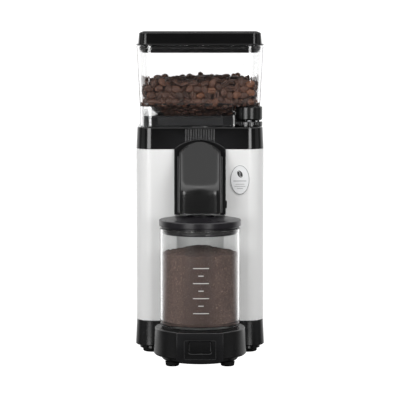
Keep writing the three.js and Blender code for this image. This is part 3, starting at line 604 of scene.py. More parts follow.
def copper_winding(name):
    """Enamelled wire wound in upright turns."""
    nodes = Nodes(name)
    turns = nodes.add("TexWave", bands_direction="DIAGONAL")
    turns.inputs["Scale"].default_value = 260
    turns.inputs["Distortion"].default_value = 1.5
    nodes.link(nodes.place(), turns.inputs["Vector"])
    nodes.colour(nodes.mix(turns.outputs["Fac"], (0.28, 0.1, 0.04), (0.7, 0.32, 0.15)))
    nodes.roughness(nodes.grain(300, 3), 0.3, 0.5)
    nodes.bump(turns.outputs["Fac"], 0.5, 0.3)
    nodes.set(Metallic=0.85)
    return nodes.material


def circuit_board_skin(name):
    """Green solder resist over copper tracks."""
    nodes = Nodes(name)
    tracks = nodes.add("TexBrick")
    tracks.inputs["Scale"].default_value = 160
    tracks.inputs["Mortar Size"].default_value = 0.04
    tracks.inputs["Color1"].default_value = (0.012, 0.1, 0.045, 1)
    tracks.inputs["Color2"].default_value = (0.01, 0.085, 0.04, 1)
    tracks.inputs["Mortar"].default_value = (0.03, 0.2, 0.09, 1)
    nodes.link(nodes.place(), tracks.inputs["Vector"])
    nodes.colour(tracks.outputs["Color"])
    nodes.roughness(nodes.grain(400, 3), 0.35, 0.55)
    nodes.bump(tracks.outputs["Fac"], 0.2, 0.05)
    return nodes.material


def printed(name, base, shade, low, high):
    """Ink, a printed label or a flat painted highlight, with a slightly uneven edge and sheen."""
    nodes = Nodes(name)
    nodes.colour(nodes.mix(nodes.grain(700, 4), base, shade))
    nodes.roughness(nodes.grain(500, 3), low, high)
    nodes.bump(nodes.grain(3000, 2), 0.08, 0.02)
    return nodes.material


def roasted(name):
    """Coffee beans: each its own brown, mottled, with a thin oily sheen."""
    nodes = Nodes(name)
    tone = nodes.add("Attribute", attribute_name="tone").outputs["Fac"]
    browns = nodes.ramp(
        tone,
        (0.0, (0.03, 0.012, 0.007)),
        (0.45, (0.06, 0.026, 0.016)),
        (0.8, (0.095, 0.041, 0.025)),
        (1.0, (0.15, 0.06, 0.03)),
    )
    mottled = nodes.ramp(nodes.grain(420, 5, 0.6), (0.3, 0.55), (0.7, 1.0))
    nodes.colour(nodes.mix(1.0, browns, mottled, "MULTIPLY"))
    nodes.set(Specular_IOR_Level=0.3)
    nodes.roughness(nodes.grain(300, 3), 0.42, 0.65)
    nodes.bump(nodes.grain(900, 4, 0.6), 0.35, 0.12)
    return nodes.material


def ground_coffee(name):
    """Medium-ground coffee: sharp grains with pale flecks of chaff, pressed against the glass, with a painted
    shade darker down the middle.
    """
    nodes = Nodes(name)
    grains = nodes.add("TexVoronoi")
    grains.inputs["Scale"].default_value = 1300
    nodes.link(nodes.place(), grains.inputs["Vector"])
    flecks = nodes.ramp(
        grains.outputs["Color"],
        (0.1, (0.045, 0.025, 0.019)),
        (0.6, (0.09, 0.055, 0.045)),
        (0.86, (0.135, 0.09, 0.075)),
        (0.97, (0.32, 0.22, 0.17)),
    )
    streaks = nodes.ramp(nodes.grain(60, 4, 0.6, (1, 1, 0.12)), (0.3, 0.72), (0.62, 1.0))
    streaked = nodes.mix(1.0, flecks, streaks, "MULTIPLY")
    # Painted shade: a dark band down the middle of the grounds, set by the object's X, stands in for the
    # dimmer light there.
    nodes.colour(nodes.mix(nodes.painted_shade_near_middle(0.006, 0.024), streaked, (0.026, 0.012, 0.008)))
    nodes.set(Roughness=0.9)
    nodes.bump(grains.outputs["Distance"], 0.7, 0.4)
    nodes.bump(nodes.grain(260, 4), 0.4, 0.8)
    return nodes.material


BACKDROP_GLOW = 1.2
CEILING_GLOW = 1.1


class Backdrop(Graph):
    """A node tree for the surroundings: white to the camera and towards +Y, dim elsewhere."""

    def step(self, source, low, high, dim=0.0, bright=1.0):
        """Goes smoothly from dim to bright as the source goes from low to high."""
        return self.spread(source, low, high, dim, bright, "SMOOTHSTEP")

    def vector(self, operation, source, output="Vector"):
        node = self.add("VectorMath", operation=operation)
        self.link(source, node.inputs[0])
        return node.outputs[output]

    def combine(self, operation, first, second):
        node = self.add("Math", operation=operation)
        self.link(first, node.inputs[0])
        self.link(second, node.inputs[1])
        return node.outputs[0]

    def share(self, source, axis):
        """How much of a direction lies along an axis."""
        split = self.add("SeparateXYZ")
        self.link(self.vector("NORMALIZE", source), split.inputs["Vector"])
        return split.outputs[axis]

    def towards_rear(self, source, low, high, dim=0.0):
        return self.step(self.share(source, "Y"), low, high, dim)

    def upwards(self, source, low, high, bright):
        return self.step(self.share(source, "Z"), low, high, 0, bright)

    def or_camera(self, source):
        path = self.add("LightPath")
        return self.combine("MAXIMUM", source, path.outputs["Is Camera Ray"])


def pale_floor(name):
    """A studio floor that is nearly black to the lamps and glossy near the object.

    It looks white because it glows to the camera, and behind the object to everything.
    """
    nodes = Nodes(name)
    nodes.colour(nodes.mix(nodes.grain(3), (0.03, 0.03, 0.03), (0.04, 0.04, 0.04)))
    glow = nodes.add("Emission")
    glow.inputs["Strength"].default_value = BACKDROP_GLOW
    mix = nodes.add("MixShader")
    sweep = Backdrop(nodes.tree)
    place = nodes.place()
    behind = sweep.towards_rear(place, 0.1, 0.75)
    distance = sweep.vector("LENGTH", place, "Value")
    away = sweep.step(distance, 0.12, 0.35)
    nodes.link(sweep.step(distance, 0.24, 0.36, 0.16, 0.8), nodes.shader.inputs["Roughness"])
    nodes.link(sweep.or_camera(sweep.combine("MULTIPLY", behind, away)), mix.inputs["Fac"])
    nodes.link(nodes.shader.outputs["BSDF"], mix.inputs[1])
    nodes.link(glow.outputs["Emission"], mix.inputs[2])
    nodes.link(mix.outputs["Shader"], nodes.output.inputs["Surface"])
    return nodes.material


MATERIALS = {
    "white_paint": painted("white_paint", (0.73, 0.73, 0.725), (0.705, 0.705, 0.7), 0.3, 0.4),
    "black_plastic": moulded(
        "black_plastic",
        dark=(0.003, 0.003, 0.0031),
        light=(0.0038, 0.0038, 0.004),
        worn=(0.014, 0.014, 0.015),
        low=0.11,
        high=0.14,
        relief=0.02,
    ),
    "chute_plastic": moulded(
        "chute_plastic",
        dark=(0.0045, 0.0045, 0.0045),
        light=(0.006, 0.006, 0.006),
        worn=(0.016, 0.016, 0.016),
        low=0.19,
        high=0.23,
        relief=0.04,
    ),
    "lid_plastic": moulded(
        "lid_plastic",
        dark=(0.0062, 0.0054, 0.0072),
        light=(0.0082, 0.0072, 0.0095),
        worn=(0.022, 0.02, 0.024),
        low=0.27,
        high=0.32,
        relief=0.1,
    ),
    "clear_plastic": see_through("clear_plastic", 1.49, (0.99, 0.99, 0.99), 0.015, 90),
    "jar_glass": see_through("jar_glass", 1.47, (0.99, 0.994, 0.992), 0.01, 120),
    "rubber": rubber("rubber"),
    "steel": machined("steel", (0.45, 0.46, 0.48), (0.66, 0.67, 0.69), 0.25, 0.4, (1, 1, 12)),
    "cast_metal": cast("cast_metal"),
    "copper": copper_winding("copper"),
    "board": circuit_board_skin("board"),
    "badge": printed("badge", (0.74, 0.745, 0.75), (0.71, 0.715, 0.72), 0.35, 0.5),
}
SATIN_BLACK = moulded(
    "satin_black", (0.003, 0.003, 0.0031), (0.004, 0.004, 0.0042), (0.014, 0.014, 0.015), 0.22, 0.27, 0.04
)
FROSTED_PANEL = matt("frosted_panel", (0.015, 0.015, 0.0155), (0.022, 0.022, 0.0225))
MATT_BLACK = matt("matt_black", (0.006, 0.006, 0.0063), (0.009, 0.009, 0.0093))
DARK_PRINT = printed("dark_print", (0.02, 0.02, 0.021), (0.035, 0.035, 0.036), 0.4, 0.55)
GREY_PRINT = printed("grey_print", (0.12, 0.12, 0.122), (0.16, 0.16, 0.162), 0.4, 0.55)
# The rails' grey is a painted highlight, standing in for the light glint along the chute cover's side edges.
RAIL_PAINTED_HIGHLIGHT = printed("rail_painted_highlight", (0.075, 0.075, 0.077), (0.095, 0.095, 0.098), 0.3, 0.4)
WHITE_PRINT = printed("white_print", (0.6, 0.59, 0.57), (0.5, 0.49, 0.47), 0.4, 0.6)
BEAN_SKIN = roasted("bean_skin")
GROUNDS = ground_coffee("grounds")

# ---- Base ----


def base_housing():
    low, high = HOUSING_LOW.z, HOUSING_HIGH.z
    rear = swept([(0.3, low + 1.3), (-0.9, low + 2.2, 0.5), (0.2, high)])
    platform = turned(
        [
            (0, low),
            (PLATFORM_RADIUS - 0.4, low, 0.5),
            (PLATFORM_RADIUS + 1, low + 1.2, 0.8),
            (PLATFORM_RADIUS, high - 0.6, 0.8),
            (PLATFORM_RADIUS - 0.8, high, 0.4),
            (0, high),
        ],
        y=JAR_Y,
        segments=144,
    )
    housing = add(rear, platform)
    rear_room = prism(outline(MOULDED + 0.5), low - PAST, high - MOULDED)
    front_room = rod(PLATFORM_ROOM, low - PAST, high - 4, y=JAR_Y)
    mat_pocket = rod(MAT_HIGH.x + GAP, high - 1.3, high + PAST, y=JAR_Y)
    flat_front = block(-24, 24, BODY_FRONT - 100, PANEL_HIGH.y + GAP, 0, 60)
    passage = block(-12, 12, -60, -20, 16, 30)
    gland_hole = facing(circle(6.4, 0, (GLAND_LOW.z + GLAND_HIGH.z) / 2), BODY_REAR - 10, BODY_REAR + 5)
    cut(housing, rear_room, front_room, mat_pocket, flat_front, passage, gland_hole)
    stand_for("base_housing", housing, 0.35, SATIN_BLACK)


def bottom_cover():
    low = BOTTOM_LOW.z
    top = low + 8.7
    underside = [
        (0, low),
        (35, low, 0.8),
        (STEP_RADIUS - 1.5, low + 0.7, 1.2),
        (STEP_RADIUS, low + 2.5, 1),
        (STEP_RADIUS, top),
        (0, top),
    ]
    step = turned(underside, y=JAR_Y)
    plate = prism(outline(3.5), low + 3.7, low + 6.7)
    bridge = block(-30, 30, -60, -35, low + 2.4, low + 5.4)
    cover = add(step, plate, bridge)
    for side in (-1, 1):
        for row in (1, 2):
            screw_low, screw_high = box_mm(f"base_screw_{'left' if side < 0 else 'right'}_{row}")
            middle = (screw_low + screw_high) / 2
            cut(cover, rod(2.2, low, low + 8, middle.x, middle.y, 24))
    stand_for("bottom_cover", cover, 0.35)


def foot(node):
    low, high = box_mm(node)
    x, y = (low.x + high.x) / 2, (low.y + high.y) / 2
    radius = (high.x - low.x) / 2
    corners = [
        (0, 0.6),
        (radius - 4.4, 0.6, 0.3),
        (radius - 3.8, 0, 0.3),
        (radius - 1.5, 0, 0.8),
        (radius - 0.5, 0.9, 0.6),
        (radius, high.z),
        (0, high.z),
    ]
    stand_for(node, turned(corners, x, y, 64))


def switch_panel():
    low, high = PANEL_LOW, PANEL_HIGH
    w = high.x
    line_radius = 0.16
    front = low.y + line_radius
    face = [(-w + 4, low.z), (w - 4, low.z), (w, low.z + 3), (w, high.z), (-w, high.z), (-w, low.z + 3)]
    panel = facing(face, front, high.y)
    room = block(-w + 2.6, w - 2.6, low.y + 2.5, high.y + PAST, low.z + 4, high.z - 2.5)
    side = BUTTON_HIGH.x + 0.5
    window = facing(rounded(-side, side, BUTTON_LOW.z - 0.5, BUTTON_HIGH.z + 0.5, 3), low.y - PAST, high.y)
    stand_for("switch_panel", cut(panel, room, window), 0.45)
    line = [(x, front, z) for x, z in rounded(-15.9, 15.9, low.z + 3.5, low.z + 22.7, 1.4)]
    outline_tube = tube(line, line_radius, closed=True, sides=6)
    finish(outline_tube, "switch_panel_line", BODY_OF["switch_panel"], DARK_PRINT)


def power_button():
    low, high = BUTTON_LOW, BUTTON_HIGH
    middle = (low.z + high.z) / 2

    def cap(inset):
        return rounded(-high.x + inset, high.x - inset, low.z + inset, high.z - inset, 2.5 - inset * 0.5, 8)

    path = [(1.1, 0), (0.35, 0.25), (0, 0.8), (0, 4.6)]
    rings = [[(x, low.y + depth, z) for x, z in cap(inset)] for inset, depth in path]
    button = loft(rings)
    for vertex in button.data.vertices:
        across = vertex.co.x / MM / high.x
        dish = max(0.0, 1 - across**2) * 0.35
        if vertex.co.y < (low.y + 0.1) * MM:
            vertex.co.y += dish * MM
    stem = facing(circle(2, 0, middle, 24), low.y + 4, high.y)
    stand_for("power_button", together(button, stem))


def cable_gland():
    low, high = GLAND_LOW, GLAND_HIGH
    middle = (low.z + high.z) / 2
    radius = high.x
    profile = [
        (3.6, low.y, 0.4),
        (6, low.y, 0.6),
        (6, high.y - 0.6),
        (radius, high.y - 0.8, 0.2),
        (radius, high.y, 0.3),
        (5.4, high.y, 0.2),
        (3.6, high.y - 0.2, 0.2),
    ]
    gland = turned(profile, segments=64)
    for vertex in gland.data.vertices:
        x, up, along = vertex.co
        vertex.co = (x, along, middle * MM - up)
    stand_for("cable_gland", gland)


def jar_mat():
    low, high = MAT_LOW.z, MAT_HIGH.z
    radius = MAT_HIGH.x
    corners = [(0, low), (radius, low), (radius, high, 0.3)]
    for groove in range(5):
        at = radius - 3 - groove * 6
        corners += [(at, high), (at - 0.4, high - 0.35), (at - 0.8, high)]
    corners.append((0, high))
    stand_for("jar_mat", turned(corners, y=JAR_Y))


# ---- Body ----


def body_shell():
    low, high = SHELL_LOW.z, SHELL_HIGH.z
    recess = rod(RECESS_RADIUS, low - 9, RECESS_TOP, y=JAR_Y, segments=180)
    outside = cut(swept([(0, low), (0, high)]), recess)
    inside = swept([(SHEET, low - PAST), (SHEET, high + PAST)])
    bulge = rod(RECESS_RADIUS + SHEET, low - 9, RECESS_TOP + SHEET, y=JAR_Y, segments=180)
    window = block(-14.8, 14.8, BODY_FRONT - 5, BODY_FRONT + 5, 185.5, 207.5)
    stand_for("body_shell", cut(outside, cut(inside, bulge), window), 0.3)


def arch(half_width, low, spring, sagitta, count=40):
    """An upright plate's outline with an arched top."""
    radius = (half_width**2 + sagitta**2) / (2 * sagitta)
    centre = spring + sagitta - radius
    start = math.asin((spring - centre) / radius)
    points = [(-half_width, low), (half_width, low)]
    for i in range(count + 1):
        angle = start + (math.pi - 2 * start) * i / count
        points.append((radius * math.cos(angle), centre + radius * math.sin(angle)))
    return points


def top_collar():
    low, high = COLLAR_LOW.z, COLLAR_HIGH.z
    collar = soften(swept([(0, low), (1, high - 0.8, 0.6), (1.8, high, 0.5), (12, high)]), 0.2)
    apply_modifiers(collar)
    inner = prism(outline(MOULDED + 1), low - PAST, high - MOULDED)
    throat_hole = rod(THROAT_RADIUS + 4, high - 5, high + PAST, y=AXIS_Y)
    spindle_hole = rod(3.6, high - 5, high + PAST, KNOB_X, KNOB_Y, 32)
    cut(collar, inner, throat_hole, spindle_hole)
    rib_corners = [(0, low), (RIB_RADIUS, low), (RIB_RADIUS, high - 2.2), (0.5, high - 1.7), (0, high - 1.6)]
    for i in range(RIB_COUNT):
        x = (i - (RIB_COUNT - 1) / 2) * RIB_PITCH
        rib = turned(rib_corners, x, 0, 16)
        for vertex in rib.data.vertices:
            flat = RIB_RELIEF / RIB_RADIUS * vertex.co.y
            vertex.co.y = BODY_FRONT * MM + flat + 0.0002 * (vertex.co.z / MM - low) / 20
        add(collar, rib)
    arch_cut = facing(arch(FRAME_HIGH.x + 0.4, low - 2, low - 0.1, ARCH_SAGITTA + 0.4), -60, -35)
    stand_for("top_collar", cut(collar, arch_cut))


def badge():
    """An oval label with a thin rim, a bean of a generic design and bars in place of lettering."""
    low, high = BADGE_LOW, BADGE_HIGH
    x, z = (low.x + high.x) / 2, (low.z + high.z) / 2
    half_width, half_height = (high.x - low.x) / 2, (high.z - low.z) / 2

    def oval(scale, count=72):
        return [
            (x + px * half_width * scale, z + pz * half_height * scale) for px, pz in circle(1, count=count)
        ]

    path = [(0.97, 0), (1, 0.2), (1, 0.6)]
    rings = [[(px, low.y + depth, pz) for px, pz in oval(scale)] for scale, depth in path]
    stand_for("badge", loft(rings))
    rim = tube([(px, low.y + 0.05, pz) for px, pz in oval(0.965)], 0.2, closed=True, sides=6)
    finish(rim, "badge_rim", BODY_OF["badge"], DARK_PRINT)

    badge_bean(x, low.y, z + 6)
    bars = []
    for height, half, radius in ((-1.2, 6.6, 0.252), (-4.6, 4.4, 0.18), (-6.8, 5.6, 0.18), (-9.0, 3.0, 0.18)):
        ends = [(x + side * half, low.y + 0.05, z + height) for side in (-1, 1)]
        bars.append(tube(ends, radius, sides=6))
    finish(together(*bars), "badge_lines", BODY_OF["badge"], DARK_PRINT)


def badge_bean(x, face, z):
    """The badge's leaning bean, with the seam along it."""
    lean = math.radians(28)

    def leant(across, along):
        px = x + across * math.cos(lean) - along * math.sin(lean)
        pz = z + across * math.sin(lean) + along * math.cos(lean)
        return px, pz

    edge = [leant(2.5 * px, 3.9 * pz) for px, pz in circle(1, count=40)]
    bean = facing(edge, face - 0.02, face + 0.2)
    seam = []
    for i in range(13):
        t = i / 6 - 1
        across, up = leant(0.7 * math.sin(math.pi * t), 3.3 * t)
        seam.append((across, face - 0.02, up))
    finish(bean, "badge_bean", BODY_OF["badge"], DARK_PRINT)
    finish(tube(seam, 0.22, sides=6), "badge_bean_seam", BODY_OF["badge"], MATERIALS["badge"])


def knob_pocket(margin, low, high):
    """The corner room round the knob, grown outwards by a margin."""
    reach = POCKET_RADIUS + margin
    x0, y1 = KNOB_X - reach, KNOB_Y + reach
    points = []
    for i in range(25):
        angle = math.radians(90 + 90 * i / 24)
        points.append((KNOB_X + reach * math.cos(angle), KNOB_Y + reach * math.sin(angle)))
    points += [(x0, BODY_FRONT - 15), (BODY_HALF_WIDTH + 15, BODY_FRONT - 15), (BODY_HALF_WIDTH + 15, y1)]
    return prism(points, low, high)


def funnel_section(share, grow):
    """The funnel's half width, half depth and middle, from its mouth (share 1) to its throat (share 0)."""
    half_width, half_depth = (
        THROAT_RADIUS + (mouth - THROAT_RADIUS) * share + grow for mouth in FUNNEL_MOUTH
    )
    return half_width, half_depth, AXIS_Y + ((BODY_FRONT + BODY_REAR) / 2 - AXIS_Y) * share


def funnel_ring(share, grow, height):
    """One level of the funnel, squarish at its mouth (share 1) and round at its throat (share 0)."""
    squareness = 1 - 0.5 * share
    half_width, half_depth, centre = funnel_section(share, grow)
    count = 120
    points = []
    for i in range(count):
        c, s = math.cos(2 * math.pi * i / count), math.sin(2 * math.pi * i / count)
        x = half_width * math.copysign(abs(c) ** squareness, c)
        y = centre + half_depth * math.copysign(abs(s) ** squareness, s)
        points.append((x, y, height))
    return points


def funnel(grow, lift, high):
    levels = 12
    rings = []
    for i in range(levels + 1):
        rise = (i / levels) ** 2
        height = FUNNEL_BOTTOM + (LEDGE - FUNNEL_BOTTOM) * rise + lift
        rings.append(funnel_ring(rise**0.4, grow, height))
    rings.append(funnel_ring(1, grow, high))
    return loft(rings)


def hopper_base():
    low, high = BOSS_LOW.z, BOSS_HIGH.z
    boss = swept([(BOSS_INSET, low), (BOSS_INSET, high - 0.1, 0.8), (BOSS_INSET + 0.9, high), (16, high)])
    inner = prism(outline(BOSS_INSET + MOULDED), low - PAST, high - MOULDED)
    cut(inner, knob_pocket(3 + MOULDED, low - 2 * PAST, high - MOULDED + 0.01))
    cut(boss, knob_pocket(3, low - PAST, high + PAST), inner, funnel(1.5, -0.5, LEDGE + PAST))
    stand_for("hopper_base", boss, 0.3)
    front = BODY_FRONT + BOSS_INSET
    plate = facing(rounded(-44, 24, low + 1.6, high - 1.2, 0.8), front - 0.35, front + 0.5)
    finish(soften(plate, 0.2), "hopper_base_blank_panel", "housing", FROSTED_PANEL)


def scale_ring():
    low, high = RING_LOW.z, RING_HIGH.z
    radius = RING_HIGH.x - KNOB_X
    corners = [(5, low), (radius, low, 0.4), (radius, high, 0.5), (radius - 2, high, 0.2), (5, high, 0.3)]
    stand_for("scale_ring", turned(corners, KNOB_X, KNOB_Y))
    ticks = []
    count = 40
    for i in range(count):
        angle = 2 * math.pi * i / count
        tall = 3.6 if i % 5 == 0 else 2.4
        tick = block(radius - 0.1, radius - 0.01 + 0.06, -0.22, 0.22, high - 0.6 - tall, high - 0.6)
        tick.data.transform(turn_about_knob(angle))
        ticks.append(tick)
    finish(together(*ticks), "scale_marks", BODY_OF["scale_ring"], GREY_PRINT)
    pointer = loft(
        [
            [(-1.1, -1.0, z), (1.1, -1.0, z), (0, 1.4, z)]
            for z in (COLLAR_HIGH.z - 0.1, COLLAR_HIGH.z + 0.12)
        ]
    )
    pointer.data.transform(moved(KNOB_X - radius - 2.6, KNOB_Y - 14, 0))
    finish(pointer, "scale_pointer", BODY_OF["scale_ring"], GREY_PRINT)


def adjust_knob():
    low, high = KNOB_LOW.z, KNOB_HIGH.z
    radius = KNOB_RADIUS
    corners = [
        (0, low + 4.8),
        (3.3, low + 4.8),
        (3.3, low, 0.3),
        (radius - 1.2, low, 0.4),
        (radius, low + 1.5, 0.6),
        (radius, high - 0.9, 0.8),
        (radius - 1, high, 0.6),
        (radius - 3.2, high, 0.4),
        (radius - 3.8, high - 0.5, 0.4),
        (0, high - 0.5),
    ]
    stand_for("adjust_knob", turned(corners, KNOB_X, KNOB_Y, 144), material=SATIN_BLACK)


# ---- Hopper ----


def hopper():
    low, rim = HOPPER_LOW.z, HOPPER_HIGH.z
    bin_outside = swept(
        [(LEDGE_INSET, LEDGE), (RIM_INSET, rim - 0.01, 0.6), (RIM_INSET + 1.2, rim), (9, rim)]
    )
    floor = LEDGE + BIN_FLOOR
    bin_room = swept(
        [
            (LEDGE_INSET + HOPPER_WALL + 2, floor),
            (LEDGE_INSET + HOPPER_WALL, floor + 2, 2),
            (RIM_INSET + HOPPER_WALL, rim),
            (RIM_INSET + HOPPER_WALL, rim + PAST),
        ]
    )
    throat = rod(THROAT_RADIUS, low, FUNNEL_BOTTOM + 0.5, y=AXIS_Y)
    bore = rod(THROAT_RADIUS - HOPPER_WALL, low - PAST, FUNNEL_BOTTOM + 3, y=AXIS_Y)
    skirt = prism(outline(SKIRT_INSET), SKIRT_BOTTOM, LEDGE + 0.5)
    skirt_room = prism(outline(SKIRT_INSET + SKIRT_WALL), SKIRT_BOTTOM - PAST, LEDGE)
    cut(skirt_room, knob_pocket(SKIRT_WALL, SKIRT_BOTTOM - 2 * PAST, LEDGE + PAST))
    cut(skirt, skirt_room)
    outside = add(bin_outside, funnel(0, 0, LEDGE + 0.5), throat, skirt)
    cut(outside, knob_pocket(0, SKIRT_BOTTOM - PAST, LEDGE))
    funnel_room = funnel(-HOPPER_WALL, 2, floor + 0.5)
    cut(funnel_room, knob_pocket(HOPPER_WALL, SKIRT_BOTTOM - PAST, floor))
    cut(outside, bin_room, funnel_room, bore)
    stand_for("hopper", outside, 0.25)


def lid_outline(inset):
    """The lid's crown has tighter corners than the body."""
    return outline(inset, LID_CORNER)


def hopper_lid():
    top = LID_HIGH.z
    rim = HOPPER_HIGH.z
    plug = LID_LOW.z
    corners = [
        (8.3, plug, 0.4),
        (6.3, plug, 0.8),
        (3.9, plug + 3.2, 1),
        (3.9, rim - 3.6, 0.2),
        (4.9, rim - 3.6, 0.1),
        (4.9, rim - 1.6, 0.1),
        (3.9, rim - 1.6, 0.2),
        (3.9, rim + 0.3, 0.2),
        (0.2, rim + 0.3, 0.3),
        (0, rim + 1.4, 0.4),
        (4, rim + 1.4),
    ]
    flange = swept(corners + [(8.3, rim + 1.4)], closed=True)
    face = top - 0.15
    crown = [(8.3, rim + 1), (2.2, rim + 1), (3.2, top - 0.6, 0.4), (3.6, face, 0.3), (8.3, face)]
    room = prism(outline(8.6), rim - PAST, top - MOULDED)
    cap = cut(swept(crown, plan=lid_outline), room)
    stand_for("hopper_lid", add(cap, flange), 0.15)
    leather = swept([(3.8, face - 0.1), (3.8, top - 0.05), (4.1, top)], plan=lid_outline)
    finish(leather, "hopper_lid_grained_top", BODY_OF["hopper_lid"], MATT_BLACK)


# ---- Chute ----


def chute_frame():
    low, spring = FRAME_LOW.z, SHELL_HIGH.z + GAP
    w = FRAME_HIGH.x
    plate = facing(arch(w, low, spring, ARCH_SAGITTA), FRAME_FRONT, BODY_FRONT - GAP)
    window = block(-11.5, 11.5, -60, -40, *CHUTE_WINDOW)
    ramp_points = [
        (FRAME_FRONT + 0.5, CHUTE_WINDOW[0]),
        (-68, 166),
        (-68, 158),
        (-65.5, 158),
        (-65.5, 164.5),
        (FRAME_FRONT + 0.5, CHUTE_WINDOW[0] - 4),
    ]
    half = COVER_HIGH.x - COVER_WALL - 0.5
    ramp = loft([[(x, y, z) for y, z in ramp_points] for x in (-half, half)])
    lip = facing(arch(w, spring + 0.1, spring + 0.2, ARCH_SAGITTA - 0.2), BODY_FRONT - 1, FRAME_HIGH.y)
    tab_front, tab_rear = TAB_LOW.y - GAP, TAB_HIGH.y + GAP
    tab_pocket = block(w - 5.4, w + PAST, tab_front, tab_rear, TAB_LOW.z - 0.4, TAB_HIGH.z + 0.4)
    lid_room = block(5.7 - w, w - 5.7, -60, -40, low - PAST, COVER_LOW.z)
    stand_for("chute_frame", cut(add(plate, lip, ramp), lid_room, window, tab_pocket), 0.15)
    # Thin rails along the cover's sides, their grey a painted highlight of the light caught on its edges.
    for side, name in ((-1, "left"), (1, "right")):
        path = [(side * (COVER_HIGH.x + 1.2), FRAME_FRONT - 0.1, z) for z in (low + 2.6, 181, 211)]
        finish(tube(path, 0.55, sides=12), "chute_rail_painted_highlight_" + name, BODY_OF["chute_frame"], RAIL_PAINTED_HIGHLIGHT)


def smooth_min(a, b, radius):
    """The smaller of two numbers, with the corner between them rounded."""
    blend = max(radius - abs(a - b), 0) / radius
    return min(a, b) - blend * blend * radius / 4


def cover_ring(height, shrink, back):
    """One level of the cover: a flat back and a front that bulges forward in the middle."""
    top, low = COVER_HIGH.z, COVER_LOW.z
    half_width = COVER_HIGH.x
    if height > COVER_ARCH:
        sagitta = top - COVER_ARCH
        radius = (half_width**2 + sagitta**2) / (2 * sagitta)
        half_width = math.sqrt(max(radius**2 - (height - top + radius) ** 2, 0))
    slanted = (top - height) * COVER_SLOPE
    upright = COVER_DEPTH - (181 - height) * 0.06
    depth = smooth_min(slanted, upright, 6)
    half_width = max(half_width - shrink, 0.5)
    depth = max(depth - shrink, 0.2)
    bulge = 0.03 + 0.05 * (height - low) / (top - low)
    front = FRAME_FRONT - GAP
    columns = 40
    points = [(half_width, back, height), (-half_width, back, height)]
    for i in range(columns + 1):
        side = -math.cos(math.pi * i / columns)
        rounding = max(0, (abs(side) - 1 + COVER_CORNER) / COVER_CORNER)
        drop = 1 - math.sqrt(max(0, 1 - rounding**2))
        forward = depth * (1 - bulge * side**2) - min(depth, COVER_ROUNDING) * drop
        points.append((half_width * side, front - forward, height))
    return points


def chute_cover():
    back = FRAME_FRONT - GAP
    low, high = COVER_LOW.z, COVER_HIGH.z
    levels = 40
    outer = []
    inner = [cover_ring(low - 2, COVER_WALL, back + 2)]
    for i in range(levels + 1):
        share = math.sin(math.pi / 2 * i / levels)
        outer.append(cover_ring(low + (high - 0.05 - low) * share, 0, back))
        inner.append(cover_ring(low + (high - 2.5 - low) * share, COVER_WALL, back + 2))
    stand_for("chute_cover", cut(loft(outer), loft(inner)), 0.3)


def release_tab():
    low, high = TAB_LOW, TAB_HIGH
    face = rounded(low.x, high.x, low.z, high.z, 0.9, 6)
    stand_for("release_tab", facing(face, low.y, high.y), 0.3)


# ---- Jar ----


def jar_glass():
    low, rim = GLASS_LOW.z, GLASS_HIGH.z
    inner = JAR_RADIUS - JAR_WALL
    floor = low + JAR_FLOOR
    corners = [
        (0, low + 0.6),
        (26, low + 0.5, 4),
        (31, low, 2),
        (JAR_RADIUS - 3.5, low, 1),
        (JAR_RADIUS - 0.4, low + 1, 2),
        (JAR_RADIUS, low + 4, 2),
        (JAR_RADIUS, rim - 0.6, 0.6),
        (JAR_RADIUS - 1.1, rim, 0.8),
        (inner, rim - 0.6, 0.6),
        (inner, floor + 3, 3),
        (inner - 3, floor, 3),
        (0, floor),
    ]
    stand_for("jar_glass", turned(corners, y=JAR_Y, segments=160))


def jar_lid():
    low, high = JAR_LID_LOW.z, JAR_LID_HIGH.z
    radius = JAR_LID_HIGH.x
    rim = GLASS_HIGH.z
    corners = [
        (15, rim + 4.5, 0.4),
        (35.2, rim + 4.5, 1),
        (35.2, low, 0.4),
        (36.9, low, 0.6),
        (38.2, low + 1.5, 0.5),
        (38.2, low + 2.3, 0.1),
        (37.2, low + 2.3, 0.1),
        (37.2, low + 5.3, 0.1),
        (38.2, low + 5.3, 0.1),
        (38.2, rim + 2, 0.4),
        (radius - 0.2, rim + 2, 0.3),
        (radius, rim + 2.6, 0.4),
        (radius, rim + 7.5, 0.6),
        (radius - 0.6, rim + 8.2, 0.5),
        (32, rim + 8.8, 6),
        (17, high - 0.2, 2),
        (15, high, 0.6),
    ]
    stand_for("jar_lid", turned(corners, y=JAR_Y, segments=160))


def jar_marks():
    """Printed measuring lines on the jar's front, long and short in turn."""
    marks = []
    top, pitch = 103.5, 7.63
    for i in range(7):
        z = top - pitch * i
        half = 8.05 if i % 2 == 0 else 2.65
        steps = 10 if i % 2 == 0 else 4
        rings = []
        for step in range(steps + 1):
            x = 1 - half + 2 * half * step / steps
            angle = math.asin(x / JAR_RADIUS)
            ring = []
            for radius, height in ((0.0, -0.4), (0.07, -0.35), (0.07, 0.35), (0.0, 0.4)):
                r = JAR_RADIUS + radius
                ring.append((r * math.sin(angle), JAR_Y - r * math.cos(angle), z + height))
            rings.append(ring)
        marks.append(loft(rings))
    finish(together(*marks), "jar_marks", BODY_OF["jar_glass"], WHITE_PRINT)


